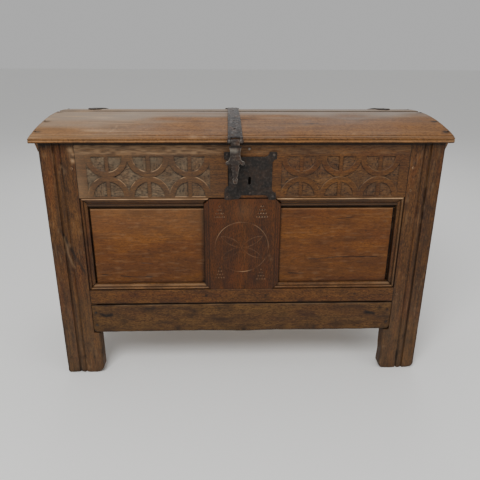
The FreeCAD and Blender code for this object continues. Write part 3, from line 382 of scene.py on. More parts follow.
def relief(name, us, vs, depth, place, back, finishes, marks, tone, along="u", inside=everywhere,
           warp=None, knots=()):
    """A board with a worked face. us and vs are its grid lines, depth(u, v) is how far the face is
    cut below its plane, back is the thickness, and place(u, v, w) puts a point in the chest. along
    says which way the grain runs, and marks(u, v) gives the grime with painted shade, the carved
    ground, and the wear with painted highlights.
    inside(u, v) says which part of the grid is wood, warp(u, v) moves its points, and knots bend the
    grain. finishes are those of its face and of its back."""
    u, v = np.meshgrid(np.array(in_order(us)), np.array(in_order(vs)), indexing="ij")
    faces = cells(u, v, inside)
    w = depth(u, v) + np.zeros(u.shape)
    grime_and_shade, ground, wear_and_highlight = [m + np.zeros(u.shape) for m in marks(u, v)]
    run, across = (v, u) if along == "v" else (u, v)
    across, rings = swirled(run, across, knots)
    for away, size in rings:
        grime_and_shade = grime_and_shade + 0.55 * near(away, size * 0.45)
    if warp:
        u, v = warp(u, v)
    flat = [np.ravel(a) for a in (u, v, w, grime_and_shade, ground, wear_and_highlight, run, across)]
    # Keep only the points that a face uses, then give the worked face sides and an open back.
    used = sorted({k for f in faces for k in f})
    renumber = {k: i for i, k in enumerate(used)}
    u, v, w, grime_and_shade, ground, wear_and_highlight, run, across = [a[used] for a in flat]
    faces = [tuple(renumber[k] for k in f) for f in faces]
    seen = {(a, b) for f in faces for a, b in zip(f, f[1:] + f[:1])}
    rim = sorted((a, b) for a, b in seen if (b, a) not in seen)
    ends = sorted({k for e in rim for k in e})
    behind = {k: len(used) + i for i, k in enumerate(ends)}
    sides = [(b, a, behind[a], behind[b]) for a, b in rim]
    u, v, run, across = [np.append(a, a[ends]) for a in (u, v, run, across)]
    w = np.append(w, np.full(len(ends), back))
    values = {"grain": grain_at(run, across, w, tone)}
    for key, value in (("grime_and_shade", grime_and_shade), ("ground", ground), ("wear_and_highlight", wear_and_highlight)):
        values[key] = np.clip(np.append(value, np.zeros(len(ends))), 0, 1)
    obj = piece_from(name, np.stack(place(u, v, w), 1), faces + sides, values, finishes)
    close_and_turn(obj, [[(behind[a], behind[b]) for a, b in rim]], BACK)
    return obj


# ---- mouldings and carving of the front -----------------------------------------------------------
# The panel moulding: a bead that sinks this deep beside it, then a slope that falls to the panel.
BEAD_LOW = 4.8
BEAD_RADIUS = 4.0
BEAD_MIDDLE = 14.0
STEP = 10.0
SLOPE_TOP = 7.0
SLOPE_LOW = 9.0
SLOPE_WIDTH = 8.0
MITRE_DEEP = 1.6
# Grid lines across it, closest where it turns.
PROFILE = [0, 1, 2, 4, 6, 8, 9.8, 10, 10.4, 11, 12, 13, 14, 15, 16, 17, 17.6, 18, 19, 19.8, 20]


def front_place(u, v, w):
    """A point of the front at u across, v up and w behind the frame's face."""
    return u, FRONT + w, v


def moulding(p):
    """Depth of the panel moulding at p millimetres outside the opening: a bead, then a slope."""
    bead = BEAD_LOW - np.sqrt(np.maximum(BEAD_RADIUS ** 2 - (p - BEAD_MIDDLE) ** 2, 0))
    slope = SLOPE_TOP + (SLOPE_LOW - SLOPE_TOP) * np.clip((STEP - p) / SLOPE_WIDTH, 0, 1)
    return np.where(p >= MOULD - 1e-6, 0, np.where(p > STEP - 0.01, bead, slope))


def outside_opening(u, v):
    """Distance outside the nearer panel opening, and how near a point is to one of its mitres."""
    found, mitre = np.full(np.shape(u), FAR), np.zeros(np.shape(u))
    for x0, x1 in OPENINGS:
        pu, pv = np.maximum(x0 - u, u - x1), np.maximum(OPEN_BOTTOM - v, v - OPEN_TOP)
        found = np.minimum(found, np.maximum(pu, pv))
        corner = (pu > -0.5) & (pv > -0.5) & (pu < MOULD + 1) & (pv < MOULD + 1)
        mitre = np.maximum(mitre, np.where(corner, np.clip(1 - np.abs(pu - pv) / 0.7, 0, 1), 0))
    return found, mitre


def quirk_darkening(p):
    """Darkening in the two corners of the moulding and along its foot."""
    return 0.7 * near(p - 19, 1.0) + near(p - 9.5, 1.1) + near(p, 1.6)


# Two carved fields, each with three columns of half-round lunettes that stand on its lower edge and
# hang from its upper one. The bands of neighbours run together, and an upright rib fills each middle.
FIELDS = ((-475.0, MUNTIN_LEFT + 3), (MUNTIN_RIGHT + 17, 476.0))
FIELD_HEIGHT = 124.0
FIELD_LOW = TOP_BOTTOM + 4
FIELD_HIGH = FIELD_LOW + FIELD_HEIGHT
COLUMNS = 3
BAND = 17.0
HALF_RIB = 5.4
MERGE = 1.5
# Grid step of the carved wood.
CARVING_STEP = 1.35


def standing(u, v):
    """How far inside the uncut bands and ribs of the lunettes a point is; negative where it is cut."""
    result = np.full(np.shape(u), FAR)
    for x0, x1 in FIELDS:
        pitch = (x1 - x0) / COLUMNS
        outer = min(pitch, FIELD_HEIGHT) / 2 + MERGE
        inner = outer - BAND
        left = -np.minimum.reduce([u - x0, x1 - u, v - FIELD_LOW, FIELD_HIGH - v])
        for column in range(COLUMNS):
            x = x0 + (column + 0.5) * pitch
            for z in (FIELD_LOW, FIELD_HIGH):
                r = np.hypot(u - x, v - z) + 0.5 * ripple(u / 9, v / 9, 5)
                ring = np.minimum(outer - r, r - inner)
                rib = np.minimum(HALF_RIB - np.abs(u - x), inner + 2 - r)
                left = np.maximum(left, np.maximum(ring, rib))
        result = np.minimum(result, left)
    return result


def upward(u, v):
    """1 where the edge of a band looks up and -1 where it looks down."""
    return np.clip((standing(u, v - 0.7) - standing(u, v + 0.7)) / 1.2, -1, 1)


def gouged(u, v):
    """Short gouge strokes over the carved ground, 0 to 1; most are level, some are upright."""
    level = ripple(u / 6, v / 2.2, 11) + 0.6 * ripple(u / 3, v / 1.8, 12)
    upright = ripple(u / 2.4, v / 9, 13) + 0.5 * ripple(u / 3.5, v / 4, 14)
    mix = patchy(u, v, 45, 16)
    return np.clip(0.5 + 0.6 * (level * mix + upright * (1 - mix)), 0, 1)


# The pocket behind the lock plate: its sides, foot and head.
POCKET = (-49.5, 71.0, 656.0, 752.0)
POCKET_DEPTH = 24.0
# The lip: where its lower edge starts, and the deep joint between it and the moulding above, which is painted
# black as shade.
LIP_LOW = LIP_BOTTOM + 1.0
LIP_JOINT = 1.6
LIP_JOINT_DEEP = 15.0


def in_pocket(u, v):
    """Whether a point is in the pocket behind the lock plate."""
    x0, x1, z0, z1 = POCKET
    return (u > x0) & (u < x1) & (v > z0) & (v < z1)


def painted_nose_shadow(v):
    """Painted shade on the front in the shadow of the lid's nose."""
    return np.clip((v - RIM + 11) / 3, 0, 1)


def carved_share(u):
    """How much of the carving is left: old hands have rubbed it low beside the lock."""
    return 1 - 0.45 * near(u + 145, 60) - 0.35 * near(u - 150, 50)


def top_rail_depth(u, v):
    """Depth of the lunettes, the moulding, the lip and the lock's pocket."""
    stand = standing(u, v)
    cut = np.clip(-stand / 1.4, 0, 1)
    cut = cut * cut * (3 - 2 * cut)
    floor = sizes().carving_depth / MM * carved_share(u) - 0.9 * gouged(u, v)
    rail = cut * floor + 0.35 * near(stand, 1.3) * (1 - cut)
    rail = rail + planed(u, v, 21) + rolled(RIM - v, 2.0) + rolled(SHOULDER - np.abs(u), 0.9)
    beside_lock = (np.abs(u - POCKET[0]) < 8) & (v > POCKET[2] - 3) & (v < POCKET[3] + 3)
    rail = np.where(beside_lock, 0, rail)
    p, mitre = outside_opening(u, v)
    rail = np.where(v < TOP_BOTTOM + 0.001, moulding(p) + MITRE_DEEP * mitre, rail)
    lip = np.where(v > OPEN_TOP - LIP_JOINT, LIP_JOINT_DEEP, LIP_SETBACK + rolled(v - LIP_LOW, 1.5))
    rail = np.where(v < OPEN_TOP - 0.01, lip, rail)
    return np.where(in_pocket(u, v), POCKET_DEPTH, rail)


def top_rail_marks(u, v):
    """Dirt and painted shade along the bands and in the moulding, a dull ground, painted highlights on the
    upper edges and the moulding, and black painted shade in the pocket and the joint over the lip.
    """
    stand, up, strokes = standing(u, v), upward(u, v), gouged(u, v)
    above = v > TOP_BOTTOM
    cut = np.clip(-stand / 1.5, 0, 1) * above
    broken = patchy(u, v, 17, 22)
    p, mitre = outside_opening(u, v)
    # Dark lines round the bands, darkest where an edge looks down: painted shade from light above.
    grime_and_shade = near(stand + 1.2, 1.5) * above * (0.45 + 0.55 * np.clip(-up, 0, 1)) * (0.5 + 0.5 * broken)
    grime_and_shade = grime_and_shade + 0.8 * cut * np.clip(0.4 - strokes, 0, 1) * 2
    # Dark joints at the stiles, the painted shadow of the lid's nose, and the pocket behind the lock painted
    # black as shade.
    grime_and_shade = grime_and_shade + near(SHOULDER - np.abs(u), 1.4) + painted_nose_shadow(v) + in_pocket(u, v)
    # Painted shade on the moulding's step and on its slope, which looks down.
    rebate = 0.9 * near(p - 10.8, 1.6) + 0.9 * near(p - 3.8, 2.0) + mitre
    grime_and_shade = grime_and_shade + rebate * (v > OPEN_TOP)
    # The deep joint above the lip is painted black as shade, and the lip, set back under the moulding, is
    # painted darker.
    grime_and_shade = grime_and_shade + np.where(v < OPEN_TOP, np.where(v > OPEN_TOP - LIP_JOINT - 0.3, 0.9, 0.5), 0)
    grime_and_shade = grime_and_shade + 0.25 * np.clip(ripple(u / 40, v / 4, 27), 0, 1) * above
    # Painted highlight on the upper edges of the bands, where light from above falls.
    wear_and_highlight = 0.75 * near(stand - 0.4, 1.0) * above * np.clip(up, 0, 1) * np.clip(1.6 * broken - 0.4, 0, 1)
    wear_and_highlight = wear_and_highlight + 0.22 * cut * np.clip(strokes - 0.6, 0, 1) * 2 * patchy(u, v, 30, 24)
    shine = 0.2 + 0.8 * patchy(u, v, 34, 28)
    highlights = near(p - 15.6, 1.9) * (0.35 + 0.65 * shine) + 0.2 * near(p - 19.6, 0.9)
    # Painted light also lifts the moulding's downward slope and the lip a little.
    wear_and_highlight = wear_and_highlight + (highlights + 0.1 * near(p - 7.4, 1.4)) * (v > OPEN_TOP) * (p < MOULD + 2)
    wear_and_highlight = wear_and_highlight + 0.04 * (v < OPEN_TOP - LIP_JOINT)
    # Painted highlight streaks on the plain band above the carving, lit from above and kept out of the nose's
    # shadow.
    plain = np.clip((v - FIELD_HIGH - 4) / 6, 0, 1) * (1 - painted_nose_shadow(v)) * (1 - 0.6 * near(u, 80))
    wear_and_highlight = wear_and_highlight + 0.34 * plain * above * np.clip(0.7 + 0.75 * ripple(u / 15, v / 2.4, 25), 0, 1.3)
    # The right-hand half is given a less grey ground and fewer pale marks, its painted highlights among them.
    keep = 1 - 0.65 * np.clip(u / 120, 0, 1)
    ground = cut * (0.32 + 0.5 * patchy(u, v, 21, 26)) * (0.5 + 0.5 * carved_share(u)) * keep
    ground = ground * (0.85 + 0.4 * np.clip((-u - 230) / 150, 0, 1))
    ground = ground + 0.32 * above * np.clip(-u / 200, 0, 1)
    dry_end = above * np.clip((-u - 455) / 40, 0, 1) * (1 - painted_nose_shadow(v))
    wear_and_highlight = wear_and_highlight + 0.17 * dry_end * (0.5 + 0.5 * patchy(u, v, 38, 29))
    return grime_and_shade, ground, wear_and_highlight * np.where(above, keep, 1)


def top_rail_inside(u, v):
    """The rail above its moulding, and below it only the strip over each opening."""
    strip = np.zeros(np.shape(u), bool)
    p = v - OPEN_TOP
    for x0, x1 in OPENINGS:
        strip = strip | ((p > 0) & (u > x0 - p) & (u < x1 + p)) | ((p <= 0) & (u > x0) & (u < x1))
    return (v > TOP_BOTTOM) | strip


def front_columns(*marks):
    """Upright grid lines of a front rail; inside a moulding only the profile's own lines are used."""
    own = [-SHOULDER, SHOULDER]
    stops = lines(*marks)
    for x0, x1 in OPENINGS:
        stops = [s for s in stops if not (x0 - MOULD < s < x0 or x1 < s < x1 + MOULD)]
        own += [x0 - p for p in PROFILE] + [x1 + p for p in PROFILE]
    return [s for s in stops if all(abs(s - m) > 0.6 for m in own)] + own


def build_top_rail():
    """The top rail, with its lunettes, the moulding over both openings and the lock's pocket."""
    x0, x1, z0, z1 = POCKET
    (left, left_end), (right, right_end) = FIELDS
    us = front_columns(
        (-SHOULDER, 4), (left - 2, CARVING_STEP), (left_end + 2, 4), (right - 2, CARVING_STEP),
        (right_end + 2, 4), SHOULDER,
    )
    us += [x0 - 0.1, x0 + 0.1, x1 - 0.1, x1 + 0.1]
    vs = [OPEN_TOP + p for p in PROFILE] + [LIP_LOW, LIP_LOW + 0.5, LIP_LOW + 2, OPEN_TOP - 0.1]
    vs += [OPEN_TOP - LIP_JOINT - 0.1, OPEN_TOP - LIP_JOINT + 0.1]
    vs += lines((TOP_BOTTOM + 0.2, CARVING_STEP), (FIELD_HIGH + 3, 2), RIM - 2.2)
    vs += [RIM - 1.4, RIM - 0.7, RIM - 0.25, RIM, z0 - 0.1, z0 + 0.1, z1 - 0.1, z1 + 0.1]
    rail = relief(
        "carved_top_rail", us, vs, top_rail_depth, front_place, RAIL_THICK,
        ("oak_waxed_carved", "oak_dry_inside"), inside=top_rail_inside, marks=top_rail_marks, tone=0.31,
    )
    stand_for(rail, "carcass", "front_top_rail")


# Nail holes and a scratch in the lower rail.
RAIL_DOTS = ((-123.0, 297.0), (76.0, 297.0), (375.0, 299.0))
RAIL_SCRATCH = ((30.0, 309.0), (44.0, 290.0), (58.0, 276.0))


def lower_rail_depth(u, v):
    """Depth of the planed face, its nail holes and its moulding."""
    flat = planed(u, v, 31) + rolled(v - LOWER_BOTTOM, 2.0) + rolled(SHOULDER - np.abs(u), 0.9)
    for x, z in RAIL_DOTS:
        flat = flat + 1.2 * near(np.hypot(u - x, v - z), 3)
    p, mitre = outside_opening(u, v)
    return np.where(v > LOWER_TOP, moulding(p) + MITRE_DEEP * mitre, flat)


def lower_rail_marks(u, v):
    """Darkened quirks in the moulding, stained holes and scuffs, painted shade along the gap under the rail,
    and a broken painted shine on the bead.
    """
    p, mitre = outside_opening(u, v)
    moulded = v > LOWER_TOP - 0.1
    dots = spots(u, v, [(x, z, 4.5, 1) for x, z in RAIL_DOTS])
    dots = dots + spots(u, v, ((187, 271, 4, 1), (82, 285, 12, 0.4)))
    # Dark joints at the stiles, and painted shade along the gap under the rail.
    edge = near(SHOULDER - np.abs(u), 1.2) + near(v - LOWER_BOTTOM, 2.2)
    scuffs = 0.5 * np.clip(ripple(u / 22, v / 6, 33) - 0.35, 0, 1) + 0.6 * stroke(u, v, RAIL_SCRATCH, 9)
    quirks = 0.7 * near(p - 19, 1.2) + 0.5 * near(p - 9.6, 0.8) + mitre
    grime_and_shade = quirks * moulded + dots + edge + scuffs
    # Painted highlights on the bead and the slope, which look up, and on the arris below them, broken up in
    # patches.
    shine = 0.25 + 0.75 * patchy(u, v, 38, 34)
    wear_and_highlight = (0.3 * near(p - 12.8, 1.5) + 0.36 * near(p - 5, 3.5)) * shine * moulded
    wear_and_highlight = wear_and_highlight + 0.3 * near(v - LOWER_TOP + 1.2, 1.0) * (1 - moulded) * shine
    return grime_and_shade, 0.0, wear_and_highlight


def lower_rail_inside(u, v):
    """The rail below its moulding, and above that only the mitred strip under each opening."""
    strip = np.zeros(np.shape(u), bool)
    p = OPEN_BOTTOM - v
    for x0, x1 in OPENINGS:
        strip = strip | ((u > x0 - p) & (u < x1 + p))
    return (v < LOWER_TOP) | strip


def build_lower_rail():
    """The lower rail, plain but for the moulding under both openings."""
    vs = [OPEN_BOTTOM - p for p in PROFILE] + [LOWER_BOTTOM + d for d in (0, 0.25, 0.7, 1.4)]
    vs += lines((LOWER_BOTTOM + 2.2, 3), LOWER_TOP - 0.2)
    rail = relief(
        "lower_rail", front_columns((-SHOULDER, 5), SHOULDER), vs, lower_rail_depth, front_place, RAIL_THICK,
        ("oak_waxed_frame", "oak_dry_inside"), inside=lower_rail_inside, marks=lower_rail_marks, tone=0.47,
    )
    stand_for(rail, "carcass", "front_lower_rail")


# ---- muntin -----------------------------------------------------------------------------------------
# The rosette's middle, the radius of its ring and the compass's setting for its petals.
ROSE_X = (MUNTIN_LEFT + MUNTIN_RIGHT) / 2 - 1
ROSE_Z = (LOWER_TOP + TOP_BOTTOM) / 2 - 8
ROSE_RADIUS = 85.5
PETAL_REACH = 76.0
PETAL_COUNT = 6
# Heaps of chip cuts: middle, top, depth, and how long each cut is.
CHIP_HEAPS = (
    (-76.0, 608.0, 2.0, 3.3), (58.0, 608.0, 2.0, 5.5), (-76.0, 398.0, 1.1, 2.4), (58.0, 392.0, 1.1, 3.0),
)
CHIP_ROWS = 4
CHIP_PITCH = 8.5
CHIP_FALL = 11.6
CHIP_HALF_HEIGHT = 2.6
# The two faint quirks of the muntin's old moulding, in from its edge, and a split at its foot.
OUTER_QUIRK = 8.5
INNER_QUIRK = 16.0
MUNTIN_SPLIT = ((6, 292), (3, 315), (9, 352))
# How deep its open joints look.
GAP_DEEP = 12.0
# Where the carving catches the light: place and height from the rosette's middle, radius, strength.
ROSE_LIGHTS = (
    (8, -84, 20, 0.45), (-60, 60, 26, 0.45), (-26, 16, 16, 0.6), (62, 58, 24, 0.3), (34, -20, 18, 0.35),
)
# Pale scuffs of the muntin: place, height, radius and strength.
MUNTIN_SCUFFS = ((0, 590, 30, 0.6), (90, 428, 6, 0.9), (84, 440, 4, 1.0))


def rosette(u, v):
    """A compass-drawn rosette: how near a point is to a scribed line, and how far it is in a petal."""
    x, z = u - ROSE_X, v - ROSE_Z
    scribed = near(np.hypot(x, z) - ROSE_RADIUS, 1.2)
    petal = np.zeros(np.shape(u))
    turn = 360 / PETAL_COUNT
    for k in range(PETAL_COUNT):
        lens = np.full(np.shape(u), FAR)
        for swing in (-turn, turn):
            a = math.radians(turn * (k + 0.5) + swing)
            away = np.hypot(x - PETAL_REACH * math.cos(a), z - PETAL_REACH * math.sin(a))
            lens = np.minimum(lens, PETAL_REACH - away)
        scribed = np.maximum(scribed, 0.6 * near(lens, 1.1))
        petal = np.maximum(petal, np.clip(lens / 7, 0, 1))
    return scribed, petal


def chips(u, v):
    """Stepped heaps of small chip cuts towards the corners, fainter at the foot."""
    cut = np.zeros(np.shape(u))
    for x, top, deep, length in CHIP_HEAPS:
        for row in range(CHIP_ROWS):
            for i in range(row + 1):
                du, dv = u - x - (i - row / 2) * CHIP_PITCH, v - top + row * CHIP_FALL
                bowl = np.clip(1 - (du / length) ** 2 - (dv / CHIP_HALF_HEIGHT) ** 2, 0, 1)
                cut = np.maximum(cut, deep * bowl)
    return cut


def build_muntin():
    """The middle post between the panels, with its rosette and heaps of chip cuts."""
    left, right = MUNTIN_LEFT - MOULD, MUNTIN_RIGHT + MOULD
    top = TOP_BOTTOM - sizes().joint_gap / MM

    def from_edge(u):
        return np.where(u < ROSE_X, u - left, right - u)

    def top_mitre(u, v):
        """Whether a point is in the open joint between the muntin and the moulding above a panel."""
        p = from_edge(u)
        return (p < MOULD + 1) & (v > OPEN_TOP - 1) & (np.abs(p - (v - OPEN_TOP)) < 2.4)

    def depth(u, v):
        scribed, petal = rosette(u, v)
        p = from_edge(u)
        flat = scribed + 0.9 * petal + chips(u, v) + planed(u, v, 41, "v") + rolled(v - LOWER_TOP, 1.0)
        # The old moulding is rubbed nearly flat, so that two faint quirks and a rolled edge are left.
        flat = flat + 0.9 * near(p - INNER_QUIRK, 1.6) + 0.9 * near(p - OUTER_QUIRK, 1.6) + rolled(p, 6.0)
        flat = flat + 1.2 * stroke(u, v, MUNTIN_SPLIT, 3)
        flat = flat + rolled(top - v, 1.8) + 1.2 * outside_opening(u, v)[1]
        return np.where((v > top + 0.05) | top_mitre(u, v), GAP_DEEP, flat)

    def marks(u, v):
        scribed, petal = rosette(u, v)
        p, cut, mitre = from_edge(u), chips(u, v), outside_opening(u, v)[1]
        x, z = u - ROSE_X, v - ROSE_Z
        # The open joints above the muntin are painted black as shade; its mitres, its foot and its top are
        # darkened.
        grime_and_shade = (v > top) + top_mitre(u, v) + 0.8 * mitre + near(v - LOWER_TOP, 1.3) + near(top - v, 1.2)
        grime_and_shade = grime_and_shade + 0.6 * near(p - INNER_QUIRK, 1.8) + 0.5 * near(p - OUTER_QUIRK, 1.8)
        grime_and_shade = grime_and_shade + 0.7 * near(p, 3.0)
        # Painted shade in the bottoms of the deeper chip cuts; the petals and the split are darkened.
        grime_and_shade = grime_and_shade + 1.1 * np.clip(cut - 0.8, 0, 1) + 0.12 * petal + 0.8 * stroke(u, v, MUNTIN_SPLIT, 3.4)
        grime_and_shade = grime_and_shade + spots(u, v, ((-13, 300, 4, 0.9), (-40, 330, 16, 0.25)))
        grime_and_shade = grime_and_shade + 0.16 * np.clip(-x / 70, 0, 1)
        # Painted highlights along the scribed lines, where the carving catches the light.
        lit = 0.02 + 0.24 * patchy(u, v, 20, 46) + spots(x, z, ROSE_LIGHTS)
        # The painted highlight is dimmed on the upright petals and on the ring's left side.
        highlight_dimmed = 0.75 * near(x, 20) * (np.abs(z) < PETAL_REACH) + 0.8 * near(np.hypot(x + 86, z + 18), 42)
        wear_and_highlight = np.clip(scribed * 1.3 - 0.2, 0, 1) * lit * (1 - np.clip(highlight_dimmed, 0, 0.85))
        # Painted highlights on the rims of the chip cuts, brighter in the upper heaps.
        edge = near(cut - 0.55, 0.45) * (cut > 0.02) * (0.45 + 0.55 * patchy(u, v, 9, 47))
        wear_and_highlight = wear_and_highlight + edge * np.where(v < OPEN_BOTTOM + 150, 0.3, 0.8)
        return grime_and_shade, 0.0, wear_and_highlight + 0.1 * spots(u, v, MUNTIN_SCUFFS)

    def inside(u, v):
        p = from_edge(u)
        return (p >= MOULD) | ((v > OPEN_BOTTOM - p) & (v < OPEN_TOP + p))

    us = [left + p for p in PROFILE] + [right - p for p in PROFILE]
    us += lines((MUNTIN_LEFT + 1, 1.3), MUNTIN_RIGHT - 1)
    vs = [OPEN_TOP + p for p in PROFILE] + [OPEN_BOTTOM - p for p in PROFILE] + [top, top + 0.1]
    vs += lines((OPEN_BOTTOM + 1.4, 1.3), OPEN_TOP - 1.4)
    muntin = relief(
        "carved_muntin", us, vs, depth, front_place, RAIL_THICK, ("oak_waxed_muntin", "oak_dry_inside"),
        along="v", inside=inside, marks=marks, tone=0.58,
    )
    stand_for(muntin, "carcass", "front_muntin")


# ---- stiles ----------------------------------------------------------------------------------------
# A bead between two quirks runs down each front stile: its middle, half width, and the quirks' size.
RUN_MIDDLE = HALF_WIDTH - 54.0
STILE_BEAD = 8.0
STILE_QUIRK = 5.0
QUIRK_DEEP = 4.0
# The notch in which the base board is seated.
SEAT_LOW, SEAT_HIGH = span("front_base_board")[0].z - 0.5, span("front_base_board")[1].z + 0.5
SEAT_DEEP = span("front_base_board")[1].y - FRONT + 0.5
# Worn corners of the feet, left then right: the inner corner and the outer one.
FOOT_ROUNDS = {-1: (22.0, 9.0), 1: (15.0, 17.0)}


def stile_run(u):
    """Depth of the bead and its two quirks at a distance u from the chest's middle."""
    d = np.abs(u - RUN_MIDDLE)
    bead = 0.3 + (QUIRK_DEEP - 0.3) * (1 - np.sqrt(np.maximum(1 - (d / STILE_BEAD) ** 2, 0)))
    return np.where(d < STILE_BEAD, bead, np.where(d < STILE_BEAD + STILE_QUIRK, QUIRK_DEEP, 0))


def bruised(u, v, seed):
    """Dents and splits that thicken towards the foot."""
    low = np.clip((220 - v) / 220, 0, 1)
    dents = np.clip(ripple(u / 16, v / 22, seed) - 0.45, 0, 1) * (1.0 + 3.0 * low)
    return dents + np.clip(ripple(u / 5, v / 60, seed + 3) - 0.55, 0, 1) * 1.2


def foot_warp(side):
    """Round the corners of a foot, leave its end grain ragged and its inner edge worn hollow."""
    def warp(u, v):
        share = np.clip((u - OPENING) / (HALF_WIDTH - OPENING), 0, 1)
        radii = FOOT_ROUNDS[side]
        inner = rolled(v, radii[0]) * (1 - share) ** 6
        outer = rolled(v, radii[1]) * share ** 8
        from_edge = np.minimum(u - OPENING, HALF_WIDTH - u)
        lift = np.where(share < 0.5, rolled(u - OPENING, radii[0]), rolled(HALF_WIDTH - u, radii[1]))
        rag = np.clip(0.6 + ripple(u / 13, 0, 77) + 0.5 * ripple(u / 5, 0, 78), 0, 2) * 1.3
        rag = rag + 2.5 * near(np.abs(u - RUN_MIDDLE) - STILE_BEAD - STILE_QUIRK / 2, 3)
        worn = 2.2 * near(v - 62, 24) * np.clip(1 - (u - OPENING) / 25, 0, 1) * (side > 0)
        up = (rag + 0.35 * lift * (from_edge < 25)) * np.clip(1 - v / 30, 0, 1) ** 2
        return u + inner - outer + worn, v + up
    return warp


# Pale scars and dark holes of each front stile: distance from the middle, height, radius, strength.
STILE_SCARS = {
    -1: ((515, 785, 8, 0.7), (509, 771, 5, 0.5), (511, 752, 6, 0.7), (548, 733, 4, 0.25), (556, 716, 3, 0.2)),
    1: ((495, 90, 5, 0.2), (548, 560, 4, 0.15)),
}
STILE_HOLES = {
    -1: ((512, 762, 4, 1.0), (590, 797, 9, 1.0), (549, 672, 3.5, 0.7), (574, 640, 3, 0.6)),
    1: ((521, 742, 5, 0.9), (520, 700, 3.5, 0.6), (560, 600, 3, 0.4), (512, 480, 4, 0.5)),
}
# Knots of each front stile: height, distance from the middle, size.
STILE_KNOTS = {-1: ((500, 560, 11), (120, 530, 8)), 1: ((150, 575, 9), (700, 530, 7))}
# A long healed split in the left stile, and the paler wood beside it.
STILE_SPLIT = ((574.0, 532.0), (556.0, 480.0), (541.0, 448.0), (512.0, 384.0))
STILE_SWIRL = ((566.0, 506.0), (560.0, 452.0), (546.0, 404.0))


def in_seat(u, v):
    """Whether a point is in the notch that holds the base board."""
    return (u < SHOULDER + 0.6) & (v > SEAT_LOW) & (v < SEAT_HIGH)


